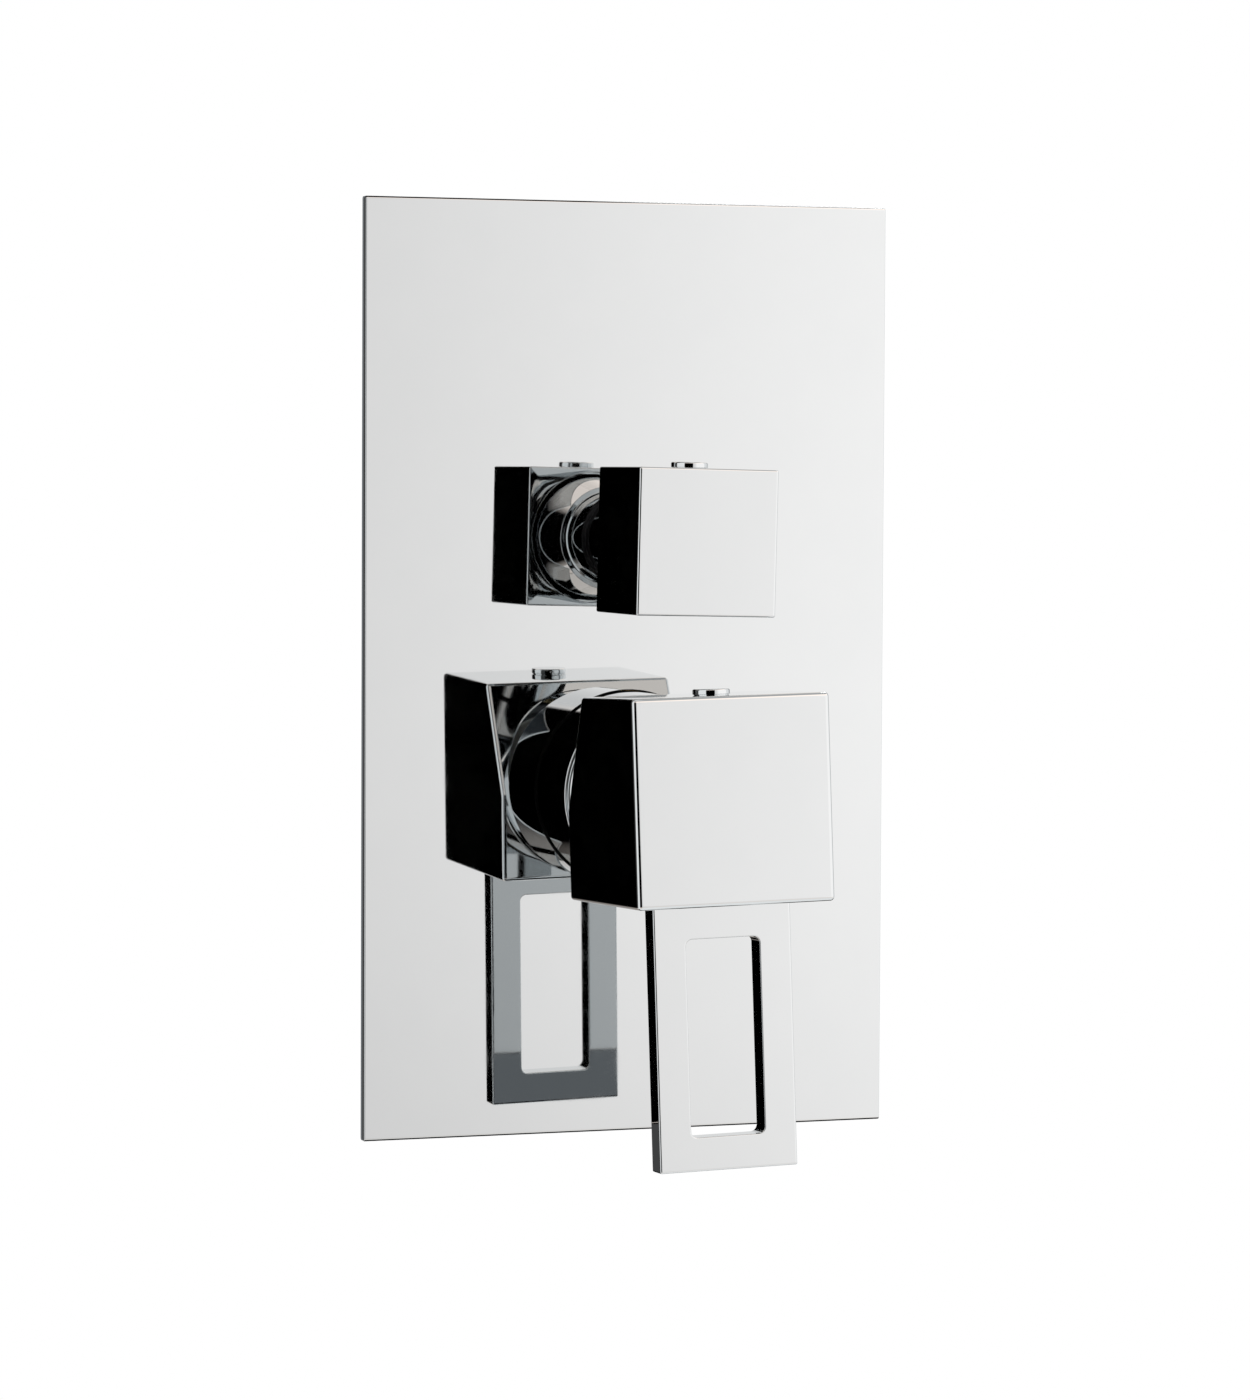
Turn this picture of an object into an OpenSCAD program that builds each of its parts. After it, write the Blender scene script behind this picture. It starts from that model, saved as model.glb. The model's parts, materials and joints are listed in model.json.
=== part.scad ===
// Concealed shower mixer with a loop lever and a two-way diverter.
// X runs to the right, Y into the wall and Z up. The origin lies on the finished wall, behind the
// middle of the face plate. Inside the axis modules below, z is the distance in front of the wall.

/* [Face plate] */
// Width of the face plate
plate_w = 130; // [110:1:180]
// Height of the face plate
plate_h = 220; // [200:1:280]
// Thickness of the face plate
plate_t = 3; // [2:0.5:6]
// Bevel on the plate's front edges
plate_bevel = 0.4; // [0.2:0.1:1]
// Thickness of the gasket and the rings behind the plate
gasket_t = 1; // [0.6:0.1:2]
// Width of the gasket's frame
gasket_w = 8; // [5:1:12]
// Distance from the plate's edge to the gasket
gasket_inset = 2; // [1:0.5:6]
// Width of the rubber rings round the sleeves
ring_w = 5; // [3:0.5:7]

/* [Valve axes] */
// Distance between the mixer's axis and the diverter's axis
axis_gap = 59; // [56:1:80]
// Height of the point midway between the axes over the plate's middle
axis_up = 1.1; // [-10:0.1:10]

/* [Rest pose] */
// Turn of the lever from straight down, anticlockwise from the front
rest_turn = 1.4; // [-20:0.1:20]
// Lift of the lever from its closed stop
rest_lift = 2; // [0:0.5:10]
// Turn of the diverter knob, clockwise from the front
rest_divert = 1.2; // [0:0.1:80]

/* [Mixer sleeve] */
// Outer diameter of the mixer sleeve
sleeve_d = 46; // [46:1:56]
// Distance that the mixer sleeve stands out of the plate
sleeve_out = 21; // [17:1:32]
// Wall of the mixer sleeve
sleeve_wall = 1.6; // [1.2:0.1:1.8]
// Radius on the rim's outer edge
rim_edge = 0.3; // [0.2:0.1:0.6]
// Width of the rim outside the shoulder
rim_land = 0.7; // [0.5:0.1:1.2]
// Radius of the round shoulder inside the rim
shoulder_r = 5.5; // [4.5:0.1:6]
// Thickness of the shoulder
lip_t = 1.8; // [1:0.1:2]
// Width of the flat ring inside the shoulder
lip_flat = 0.1; // [0.1:0.1:0.8]
// Gap round the mixer sleeve in the plate
sleeve_gap = 0.4; // [0.2:0.1:0.8]

/* [Mixer hub] */
// Width and height of the hub
hub_w = 47; // [46:1:54]
// Depth of the hub from front to back
hub_len = 47.3; // [44:0.1:60]
// Space between the mixer sleeve and the hub's back
hub_space = 3.2; // [3:0.1:8]
// Radius on the hub's edges
hub_edge = 1; // [0.5:0.1:2]
// Slope of the upper half of the hub's back, in degrees
hub_slope = 24.4; // [20:0.1:27]
// Distance from the axis down to where the slope starts
hub_kink = 2.8; // [1:0.1:5]
// Wall between the hub's sides and the hollow in its back
hub_wall = 2.4; // [1:0.1:4]
// Depth of the hollow in the hub's back
hub_hollow = 21; // [16:0.5:23]
// Diameter of the boss that holds the lever stem
hub_boss_d = 20; // [16:0.5:22]

/* [Loop lever] */
// Width of the loop
loop_w = 33; // [26:0.5:40]
// Thickness of the loop
loop_t = 5.6; // [5.5:0.1:8]
// Length of the loop below the hub
loop_len = 60; // [40:1:90]
// Width of the two side bars
side_bar = 7.6; // [5:0.1:9]
// Height of the bar over the window
top_bar = 7.7; // [5:0.1:12]
// Height of the bar under the window
bottom_bar = 7.6; // [5:0.1:12]
// Radius in the window's corners
window_r = 1.6; // [0.5:0.1:3]
// Radius on the loop's edges
loop_edge = 0.4; // [0.3:0.1:1]
// Distance of the loop's front behind the hub's front
loop_set = 10.3; // [8:0.1:12]
// Width of the tongue that goes up into the hub
tongue_w = 24; // [14:0.5:24]
// Length of the tongue
tongue_len = 12; // [9:0.5:14]

/* [Caps and screws] */
// Diameter of the round caps
cap_d = 8.5; // [8:0.1:11]
// Height of the caps over the surface
cap_h = 1.4; // [1:0.1:3]
// Length of the plug under each cap
cap_plug = 3; // [2:0.5:4]
// Diameter of the lever screw's thread
screw_d = 4; // [3:0.5:4]
// Diameter of the lever screw's head
screw_head_d = 7; // [6:0.5:7]
// Height of the lever screw's head
screw_head = 4; // [3:0.5:5]
// Depth of the lever screw in the tongue
screw_bite = 7; // [5:0.5:8]
// Diameter of the hub's grub screw
grub_d = 5; // [4:0.5:6]
// Length of the hub's grub screw
grub_len = 7; // [5:0.5:9]
// Diameter of the knob's grub screw
knob_grub_d = 4; // [3:0.5:5]
// Length of the knob's grub screw
knob_grub_len = 6; // [5:0.5:7]

/* [Diverter knob] */
// Width and height of the knob
knob_w = 33.5; // [33:0.5:40]
// Depth of the knob from front to back
knob_len = 28; // [25:0.5:36]
// Distance from the plate to the knob's back
knob_out = 25.5; // [22:0.5:34]
// Radius on the knob's edges
knob_edge = 0.5; // [0.4:0.1:1.5]
// Radial gap between the sleeve's rim and the knob's recess
rim_gap = 0.4; // [0.3:0.1:0.6]
// Depth of the recess in the knob's back
recess_len = 5; // [4:0.5:6]
// Distance from the knob's front back to its cap
knob_cap_set = 13.5; // [12:0.1:14]

/* [Diverter sleeve] */
// Diameter of the straight part of the diverter sleeve
stem_sleeve_d = 22; // [22:0.5:24]
// Length of the straight part in front of the plate
stem_sleeve_out = 13.4; // [9:0.1:16]
// Diameter of the flared rim
rim_d = 30.6; // [28:0.1:30.6]
// Distance that the rim reaches into the knob
rim_in = 1.5; // [1:0.1:2.5]
// Wall of the diverter sleeve
stem_sleeve_wall = 1.2; // [0.9:0.1:1.3]
// Gap round the diverter sleeve in the plate
stem_sleeve_gap = 1; // [0.4:0.1:1.2]

/* [Mixing cartridge] */
// Diameter of the cartridge
cart_d = 35; // [34:0.5:35]
// Diameter of the cartridge's flange
flange_d = 37.4; // [37:0.1:38]
// Thickness of the flange
flange_t = 3.5; // [3:0.1:4]
// Width of the step from the flange's edge in to the dome
dome_step = 3.7; // [3.7:0.1:4.2]
// Wall of the shell
shell_wall = 2.1; // [1.8:0.1:2.2]
// Distance of the pivot pin in front of the sleeve's rim
pivot_ahead = 1; // [0:0.5:2]
// Distance from the pivot pin to the dome's front
dome_ahead = 6; // [5:0.5:6.5]
// Length of the stem's finger from the pin to its ball
finger_len = 16; // [15:0.5:18]
// Diameter of the ball
ball_d = 4.6; // [4:0.1:5]
// Side of the stem's square shank
stem_w = 9; // [8:0.5:10]
// Length of the stem in front of the pin
stem_len = 26.5; // [24:0.5:28]
// Diameter of the pivot pin
pin_d = 4; // [3:0.5:4.5]
// Total lift of the lever
lift_total = 18; // [15:1:20]
// Turn of the lever to each side
turn_side = 50; // [40:1:55]
// Diameter of the moving disc
moving_d = 23; // [22:0.5:23.5]
// Thickness of the moving disc
moving_t = 3; // [2.5:0.1:4]
// Thickness of the fixed disc
fixed_t = 3.4; // [2.5:0.1:4]
// Thickness of the driver between the ball and the moving disc
driver_t = 5; // [4.6:0.1:6]
// Thickness of the cartridge's base
base_t = 5; // [4:0.1:7]
// Distance of the three ports from the cartridge's axis
port_ring = 8.7; // [8.5:0.1:9]
// Diameter of the three ports
port_d = 7.5; // [6:0.5:7.5]
// Angle of the hot and cold ports from straight down
inlet_turn = 45; // [43:1:48]
// Half of the angle that each inlet in the fixed disc spans
inlet_half = 27; // [20:1:30]
// Distance of the inlets' inner edge from the axis
inlet_in = 4.6; // [4.2:0.1:5]
// Width of the sealing land round the ports
land = 0.9; // [0.6:0.1:1.2]
// Width of the driver between its two flats
driver_w = 18.6; // [17:0.1:20]
// Distance of the sleeve's seal behind the cartridge's flange
seal_back = 5; // [4:0.5:6]

/* [Diverter headwork] */
// Depth of the headwork's seat in its drum
seat_depth = 16; // [15:0.5:18]
// Distance of the diverter sleeve's seal behind the headwork's front
head_seal_back = 4; // [3:0.5:5]
// Diameter of the headwork's thread
head_d = 21; // [20:0.5:22]
// Width of the headwork's hexagon across its flats
hex_af = 24; // [23:0.5:27]
// Diameter of the diverter's discs
disc_d = 16; // [15:0.5:16.5]
// Thickness of each diverter disc
disc_t = 2.5; // [2:0.1:3]
// Angle of the two outlets from straight down
outlet_turn = 45; // [40:1:50]
// Half of the angle that each outlet in the fixed disc spans
outlet_half = 26; // [18:1:28]
// Diameter of the spindle in the headwork
spindle_d = 10; // [9:0.5:11]
// Diameter of the spindle's splined end
spline_d = 8; // [7:0.5:8.5]
// Number of teeth on the spline
spline_n = 20; // [12:1:24]
// Depth of the teeth
spline_tooth = 0.45; // [0.3:0.05:0.6]
// Length of the spline in the knob
spline_len = 13; // [10:0.5:14]

/* [Valve body] */
// Distance of the diverter drum's front behind the finished wall
drum_set = 4; // [3:0.5:6]
// Diameter of the mixer drum
mixer_drum_d = 48; // [46:1:54]
// Diameter of the diverter drum
diverter_drum_d = 34; // [30:1:38]
// Width of the trunk between the drums
trunk_w = 26; // [20:1:30]
// Distance between the ends of the left and right ports
port_span = 100; // [90:1:116]
// Diameter of the port bosses
boss_d = 28; // [26:1:30]
// Radius of the threaded part of each port
thread_r = 9.5; // [9:0.1:10.5]
// Length of the threaded part of each port
thread_len = 15; // [12:0.5:18]
// Diameter of the waterways
water_d = 12; // [10:0.5:13]
// Diameter of the channel from the mixer to the diverter
channel_d = 7; // [6:0.5:7]
// Distance between the left and right fixing holes
fix_x = 60; // [58:1:64]
// Distance between the upper and lower fixing holes
fix_z = 100; // [96:1:130]
// Diameter of the fixing holes
fix_d = 5.5; // [4.5:0.5:7]
// Thickness of the four ears
ear_t = 5; // [4:0.5:8]
// Width of the ears
ear_w = 12; // [10:1:16]
// Thickness of the ribs on the casting
rib_t = 5; // [3:0.5:8]
// Depth of the hollow between the two drums at the back
trunk_in = 8; // [4:0.5:10]

/* [Hidden] */
$fn = 64;

// Colours
chrome = [0.80, 0.81, 0.83];
brass = [0.79, 0.64, 0.34];
steel = [0.56, 0.57, 0.59];
rubber = [0.13, 0.13, 0.14];
plastic = [0.90, 0.90, 0.86];
grey_plastic = [0.36, 0.38, 0.41];
ceramic = [0.95, 0.94, 0.90];

// Clearances: loose between pieces that pass each other, snug in a seat, slip for a running fit
loose = 0.3;
snug = 0.05;
slip = 0.06;
face_gap = 0.1;
cut = 1;

// The two axes
mixer_z = axis_up - axis_gap / 2;
diverter_z = axis_up + axis_gap / 2;

// Stations in front of the wall
plate_front = gasket_t + plate_t;
rim_s = plate_front + sleeve_out;
hub_back = rim_s + hub_space;
hub_front = hub_back + hub_len;
loop_front = hub_front - loop_set;
loop_mid = loop_front - loop_t / 2;

// Cartridge stations, counted back from the pivot pin
pivot_s = rim_s + pivot_ahead;
dome_front = pivot_s + dome_ahead;
ball_s = pivot_s - finger_len;
driver_front = ball_s + 2;
driver_back = driver_front - driver_t;
moving_back = driver_back - moving_t;
fixed_front = moving_back - face_gap;
base_front = fixed_front - fixed_t;
base_back = base_front - base_t;
floor_s = base_back - 0.5;
collar_back = driver_front + 0.4;
collar_front = collar_back + 2.6;
step_s = collar_front + loose;
flange_front = step_s + 2.2;
flange_back = flange_front - flange_t;
nut_front = rim_s - lip_t - 0.7;
neck_front = nut_front - 0.5;
carrier_front = dome_front + 1;
stem_end = pivot_s + stem_len;
hollow_end = hub_back + hub_hollow;
boss_back = carrier_front + 7;
grub_s = (boss_back + stem_end) / 2;

// Cartridge diameters and radii
dome_d = flange_d - 2 * dome_step;
shell_in = cart_d / 2 - shell_wall;
dome_in = dome_d / 2 - shell_wall;
neck_r = sleeve_d / 2 - sleeve_wall - loose;
ball_drop = finger_len * sin(rest_lift);
disc_start = finger_len * sin(lift_total) / 2;
port_angles = [90, 270 - inlet_turn, 270 + inlet_turn];
pocket_d = ball_d + 2 * loose;
inlet_out = moving_d / 2 - disc_start - land;
cavity_r = inlet_in - land;
closed_margin = 8;
shoulder_start = 20;
cavity_half = 180 - closed_margin - inlet_turn - inlet_half - turn_side;
cavity_depth = 1.6;
peg_x = 6.5;
peg_r = 1.6;

// Diverter stations
drum_front = -drum_set;
hex_front = gasket_t - 0.5;
seat_s = drum_front - seat_depth;
div_fixed_back = seat_s + 1;
div_fixed_front = div_fixed_back + disc_t;
rotor_back = div_fixed_front + face_gap;
rotor_front = rotor_back + disc_t;
flange_end = rotor_front + 2.5;
shoulder_s = flange_end + 0.2;
head_front = plate_front + 8;
thread_back = flange_end + 0.4;
outlet_ring = disc_d * 0.31;
outlet_width = 3.8;
outlet_r = 2.6;
outlet_angles = [270 - outlet_turn, 270 + outlet_turn];
knob_back = plate_front + knob_out;
knob_front = knob_back + knob_len;
flare_s = plate_front + stem_sleeve_out;
rim_front = knob_back + rim_in;
socket_s = knob_back + 4.5;
spline_end = socket_s + spline_len;
knob_cap_s = knob_front - knob_cap_set;

// Valve body stations
channel_s = min(floor_s - channel_d / 2 - 3, (drum_front + seat_s) / 2);
port_s = min(floor_s - 15, seat_s) - water_d / 2 - 2;
body_back = port_s - boss_d / 2;
mixer_drum_front = -2;
trunk_front = drum_front - 2;
drum_soft = 1.5;
rib_foot = 1.2;

// Frames of the two axes: x to the right, y up, z out of the wall
module on_axis(height) {
  translate([0, 0, height]) rotate([90, 0, 0]) children();
}

module on_mixer() {
  on_axis(mixer_z) children();
}

module on_diverter() {
  on_axis(diverter_z) children();
}

module on_turn() {
  on_mixer() rotate([0, 0, rest_turn]) children();
}

module on_handle() {
  on_turn() translate([0, 0, pivot_s]) rotate([-rest_lift, 0, 0]) translate([0, 0, -pivot_s]) children();
}

module on_knob() {
  on_diverter() rotate([0, 0, -rest_divert]) children();
}

// Round rod and tube between two stations
module rod(r, from, to) {
  translate([0, 0, from]) cylinder(r = r, h = to - from);
}

module tube(outer, inner, from, to) {
  difference() {
    rod(outer, from, to);
    rod(inner, from - cut, to + cut);
  }
}

// Cone between two stations
module taper(r_from, r_to, from, to) {
  translate([0, 0, from]) cylinder(r1 = r_from, r2 = r_to, h = to - from);
}

// Ring of round section
module o_ring(r, section, at) {
  translate([0, 0, at]) rotate_extrude() translate([r, 0]) circle(d = section, $fn = 24);
}

// Rectangle with round corners
module round_rect(w, h, r) {
  square([w - 2 * r, h], center = true);
  square([w, h - 2 * r], center = true);
  for (x = [-1, 1], y = [-1, 1])
    translate([x * (w / 2 - r), y * (h / 2 - r)]) circle(r = r, $fn = 24);
}

// Lays a section drawn in y and z along the x axis, centred
module along_x(length) {
  rotate([90, 0, 90]) linear_extrude(length, center = true) children();
}

// Lays a section drawn in x and z along the y axis, centred
module along_y(length) {
  rotate([90, 0, 0]) linear_extrude(length, center = true) children();
}

// Block with round edges, from z = 0 to its depth
module soft_block(w, h, depth, r) {
  intersection() {
    linear_extrude(depth) round_rect(w, h, r);
    translate([0, 0, depth / 2]) along_y(h + cut) round_rect(w, depth, r);
    translate([0, 0, depth / 2]) along_x(w + cut) round_rect(h, depth, r);
  }
}

// Outline with each corner turned into a short arc
function unit(v) = v / norm(v);
function wrap(a) = a - 360 * round(a / 360);
function heading(v) = atan2(v.y, v.x);
function arc(mid, r, from, sweep, steps) =
  [for (i = [0:steps]) mid + r * [cos(from + sweep * i / steps), sin(from + sweep * i / steps)]];
function corner(before, point, after, r) =
  let (u = unit(before - point))
  let (v = unit(after - point))
  let (half = acos(u * v) / 2)
  let (mid = point + unit(u + v) * r / sin(half))
  let (from = heading(point + u * r / tan(half) - mid))
  let (to = heading(point + v * r / tan(half) - mid))
  arc(mid, r, from, wrap(to - from), 5);
function soften(p, r) =
  [for (i = [0:len(p) - 1]) each corner(p[(i + len(p) - 1) % len(p)], p[i], p[(i + 1) % len(p)], r)];

// Kidney-shaped port: part of a ring between two angles either side of the middle one
module kidney(r_in, r_out, middle, half_angle) {
  reach = 2 * r_out;
  intersection() {
    difference() {
      circle(r = r_out);
      circle(r = r_in);
    }
    rotate(middle)
      polygon([[0, 0], [reach, -reach * tan(half_angle)], [reach, reach * tan(half_angle)]]);
  }
}

// Toothed outline of the spline
module spline(d) {
  r = d / 2;
  step = 180 / spline_n;
  polygon([for (i = [0:2 * spline_n - 1])
    let (a = i * step) (i % 2 == 0 ? r : r - spline_tooth) * [cos(a), sin(a)]]);
}

// Key socket in the end of a screw
module hex_key(af, depth) {
  cylinder(d = af / cos(30), h = depth, $fn = 6);
}

// Wall side

module face_plate() {
  half = plate_t / 2;
  side = [[-plate_w / 2, 0], [plate_w / 2, 0], [plate_w / 2, plate_t - plate_bevel],
    [plate_w / 2 - plate_bevel, plate_t], [plate_bevel - plate_w / 2, plate_t],
    [-plate_w / 2, plate_t - plate_bevel]];
  tall = [[-plate_h / 2, 0], [plate_h / 2, 0], [plate_h / 2, plate_t - plate_bevel],
    [plate_h / 2 - plate_bevel, plate_t], [plate_bevel - plate_h / 2, plate_t],
    [-plate_h / 2, plate_t - plate_bevel]];
  color(chrome) difference() {
    translate([0, -gasket_t, 0]) rotate([90, 0, 0]) intersection() {
      along_y(plate_h + cut) polygon(side);
      along_x(plate_w + cut) polygon(tall);
    }
    on_mixer() rod(sleeve_d / 2 + sleeve_gap, gasket_t - half, plate_front + half);
    on_diverter() rod(stem_sleeve_d / 2 + stem_sleeve_gap, gasket_t - half, plate_front + half);
  }
}

module plate_gasket() {
  outer_w = plate_w - 2 * gasket_inset;
  outer_h = plate_h - 2 * gasket_inset;
  color(rubber) on_axis(0) linear_extrude(gasket_t) difference() {
    round_rect(outer_w, outer_h, 2);
    round_rect(outer_w - 2 * gasket_w, outer_h - 2 * gasket_w, 1);
  }
}

module mixer_plate_ring() {
  inner = sleeve_d / 2 + snug;
  color(rubber) on_mixer() tube(inner + ring_w, inner, 0, gasket_t);
}

module diverter_plate_ring() {
  inner = stem_sleeve_d / 2 + snug;
  color(rubber) on_diverter() tube(inner + ring_w, inner, hex_front + snug, gasket_t);
}

// A straight tube that ends in a rim with a round shoulder inside it, open in the middle
module mixer_sleeve() {
  r = sleeve_d / 2;
  mid = [r - rim_land - shoulder_r * cos(shoulder_start), rim_s - shoulder_r * sin(shoulder_start)];
  inner_r = shoulder_r - lip_t;
  mouth = mid.x - lip_flat;
  edge = arc([r - rim_edge, rim_s - rim_edge], rim_edge, 0, 90, 3);
  outer = arc(mid, shoulder_r, shoulder_start, 90 - shoulder_start, 10);
  inner = arc(mid, inner_r, 90, -90, 6);
  color(chrome) on_mixer() rotate_extrude() polygon(concat([[r, mixer_drum_front]], edge, outer,
    [[mouth, mid.y + shoulder_r], [mouth, mid.y + inner_r]], inner,
    [[r - sleeve_wall, mid.y], [r - sleeve_wall, mixer_drum_front]]));
}

// The bell: a straight tube that swells out in a quarter ellipse to the rim
function bell(shift) =
  [for (t = [0:9:90]) [stem_sleeve_d / 2 - shift + (rim_d - stem_sleeve_d) / 2 * sin(t),
    flare_s + (rim_front - rim_in - flare_s) * (1 - cos(t))]];
function reverse(p) = [for (i = [len(p) - 1:-1:0]) p[i]];

module diverter_sleeve() {
  r = stem_sleeve_d / 2;
  outer = concat([[r, hex_front]], bell(0), [[rim_d / 2, rim_front]]);
  inner = concat([[r - stem_sleeve_wall, hex_front]], bell(stem_sleeve_wall),
    [[rim_d / 2 - stem_sleeve_wall, rim_front]]);
  color(chrome) on_diverter() rotate_extrude() polygon(concat(outer, reverse(inner)));
}

// Ear behind a port boss, with a fixing hole above or below the port, and a rib that holds it
module body_ear(x, way) {
  reach = way * (fix_z - axis_gap) / 2;
  translate([x, 0, body_back - ear_t + cut]) linear_extrude(ear_t) difference() {
    union() {
      translate([0, reach / 2]) square([ear_w, abs(reach)], center = true);
      translate([0, reach]) circle(d = ear_w + 2);
    }
    translate([0, reach]) circle(d = fix_d);
  }
  translate([x, 0, 0]) along_x(rib_t) polygon([[0, body_back], [way * (boss_d / 2 + rib_foot), body_back],
    [way * (boss_d / 2 - face_gap), port_s], [0, port_s]]);
}

// One port boss with an octagon for the wrench, lying along x
module port_boss(side) {
  collar = thread_len - 1;
  rotate([0, side * 90, 0]) {
    rod(boss_d / 2, 0, port_span / 2 - collar + cut);
    rotate([0, 0, 22.5]) translate([0, 0, port_span / 2 - collar])
      cylinder(d = (boss_d + 1) / cos(22.5), h = collar, $fn = 8);
  }
}

module port_bore(side) {
  rotate([0, side * 90, 0]) {
    rod(water_d / 2, 3.7, port_span / 2);
    rod(thread_r, port_span / 2 - thread_len, port_span / 2 + cut);
  }
}

module drum(r, front) {
  taper(r - drum_soft, r, body_back, body_back + drum_soft);
  rod(r, body_back + drum_soft, front - 1);
  taper(r, r - 1, front - 1, front);
}

// Web between the drums, hollow at the back but for a rib
module trunk() {
  depth = trunk_front - body_back;
  translate([-trunk_w / 2, -trunk_front, mixer_z]) cube([trunk_w, depth - trunk_in, axis_gap]);
  translate([-rib_t / 2, -trunk_front, mixer_z]) cube([rib_t, depth, axis_gap]);
}

module valve_body() {
  color(brass) difference() {
    union() {
      on_mixer() drum(mixer_drum_d / 2, mixer_drum_front);
      on_mixer() rod(neck_r, mixer_drum_front - cut, neck_front);
      on_diverter() drum(diverter_drum_d / 2, drum_front);
      trunk();
      for (height = [mixer_z, diverter_z], side = [-1, 1])
        translate([0, -port_s, height]) port_boss(side);
      for (x = [-fix_x / 2, fix_x / 2]) {
        on_mixer() body_ear(x, -1);
        on_diverter() body_ear(x, 1);
      }
    }
    on_mixer() {
      rod(cart_d / 2 + 0.2, floor_s, neck_front + cut);
      rod(flange_d / 2 + loose, flange_back, neck_front + cut);
      for (a = port_angles) rotate(a) translate([port_ring, 0, 0])
        rod(port_d / 2, a == 90 ? channel_s : port_s, floor_s + cut);
      for (side = [-1, 1]) translate([side * 13.5, 6, 0]) rod(2, floor_s - 3, floor_s + cut);
      difference() {
        rod(neck_r + cut, seal_s - 1, seal_s + 1);
        rod(neck_r - 1.2, seal_s - 2, seal_s + 2);
      }
    }
    on_diverter() {
      rod(head_d / 2 + face_gap, seat_s, drum_front + cut);
      for (a = outlet_angles) rotate(a) translate([outlet_ring, 0, 0]) rod(outlet_r, port_s, seat_s + cut);
    }
    translate([0, -channel_s, mixer_z + port_ring])
      cylinder(d = channel_d, h = axis_gap - port_ring - head_d / 2 + 2);
    for (height = [mixer_z, diverter_z], side = [-1, 1])
      translate([0, -port_s, height]) port_bore(side);
  }
}

// The seal sits on the neck behind the cartridge's flange
seal_s = flange_back - seal_back;
seal_section = 1.4;

module mixer_sleeve_seal() {
  color(rubber) on_mixer()
    o_ring(sleeve_d / 2 - sleeve_wall - snug - seal_section / 2, seal_section, seal_s);
}

// Mixing cartridge

module cartridge_nut() {
  outer = flange_d / 2 + loose - snug;
  notch_w = 4;
  notch_in = 1.5;
  color(brass) on_mixer() difference() {
    tube(outer, dome_d / 2 + loose, flange_front, nut_front);
    for (a = [0:90:270])
      rotate(a) translate([dome_d / 2, -notch_w / 2, nut_front - notch_in]) cube([outer, notch_w, notch_in + cut]);
  }
}

module cartridge_shell() {
  color(grey_plastic) on_mixer() difference() {
    union() {
      rod(cart_d / 2, base_front, flange_front);
      rod(flange_d / 2, flange_back, flange_front);
      rod(dome_d / 2, flange_front, dome_front - 1);
      taper(dome_d / 2, dome_d / 2 - 1, dome_front - 1, dome_front);
    }
    rod(shell_in, base_front - cut, step_s);
    rod(dome_in, base_front, dome_front + cut);
  }
}

module cartridge_base() {
  color(plastic) on_mixer() {
    difference() {
      rod(cart_d / 2, base_back, base_front);
      for (a = port_angles) rotate(a) translate([port_ring, 0, 0]) {
        rod(port_d / 2, base_back - cut, base_front + cut);
        rod(port_d / 2 + 1.6, base_back - cut, base_back + 0.9);
      }
    }
    for (side = [-1, 1]) translate([side * 13.5, 6, 0]) rod(1.8, base_back - 2.5, base_back + cut);
  }
}

module port_seals() {
  color(rubber) on_mixer() for (a = port_angles) rotate(a) translate([port_ring, 0, 0])
    tube(port_d / 2 + 1.5, port_d / 2 + 0.2, floor_s, base_back + 0.9);
}

// The mixed water leaves through the middle, the hot and cold water come in below it
module fixed_disc() {
  color(ceramic) on_mixer() translate([0, 0, base_front]) linear_extrude(fixed_t) difference() {
    circle(r = shell_in - 0.2);
    circle(r = cavity_r - 0.4);
    kidney(cavity_r - 1, port_ring + 2, 90, 34);
    for (a = [270 - inlet_turn, 270 + inlet_turn]) kidney(inlet_in, inlet_out, a, inlet_half);
  }
}

// The moving disc and its driver slide down as the lever lifts
module on_slide() {
  on_turn() translate([0, disc_start - ball_drop, 0]) children();
}

// Its cavity lies over the mixed water's port, and reaches the inlets only as it slides down
module moving_disc() {
  color(ceramic) on_slide() difference() {
    rod(moving_d / 2, moving_back, driver_back);
    translate([0, 0, moving_back - cut]) linear_extrude(cavity_depth + cut) {
      translate([0, -disc_start]) circle(r = cavity_r);
      kidney(0.5, moving_d / 2 - 2.4, 90, cavity_half);
    }
    for (side = [-1, 1]) translate([side * peg_x, 0, 0]) rod(peg_r, driver_back - 1, driver_back + cut);
  }
}

module disc_driver() {
  color(plastic) on_slide() difference() {
    union() {
      translate([0, 0, driver_back]) linear_extrude(driver_t) intersection() {
        circle(d = moving_d);
        square([driver_w, moving_d], center = true);
      }
      for (side = [-1, 1]) translate([side * peg_x, 0, 0])
        rod(peg_r - snug, driver_back - 0.9, driver_back + cut);
    }
    translate([0, -disc_start, 0]) rod(pocket_d / 2, driver_back - cut, driver_front + cut);
  }
}

module stem_carrier() {
  slot_w = stem_w + 0.6;
  color(plastic) on_turn() difference() {
    union() {
      rod(shell_in - loose, collar_back, collar_front);
      rod(dome_in - 0.2, collar_front, carrier_front);
      for (side = [-1, 1]) translate([side * 11 - 1.4, -7, driver_back + 0.4])
        cube([2.8, 14, collar_back - driver_back]);
    }
    translate([-slot_w / 2, -8, collar_back - cut]) cube([slot_w, 16, carrier_front]);
    translate([0, 0, pivot_s]) rotate([0, 90, 0]) cylinder(d = pin_d + 2 * slip, h = cart_d, center = true);
  }
}

module pivot_pin() {
  color(steel) on_turn() translate([0, 0, pivot_s]) rotate([0, 90, 0])
    cylinder(d = pin_d, h = 2 * dome_in - 2.5, center = true);
}

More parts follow.
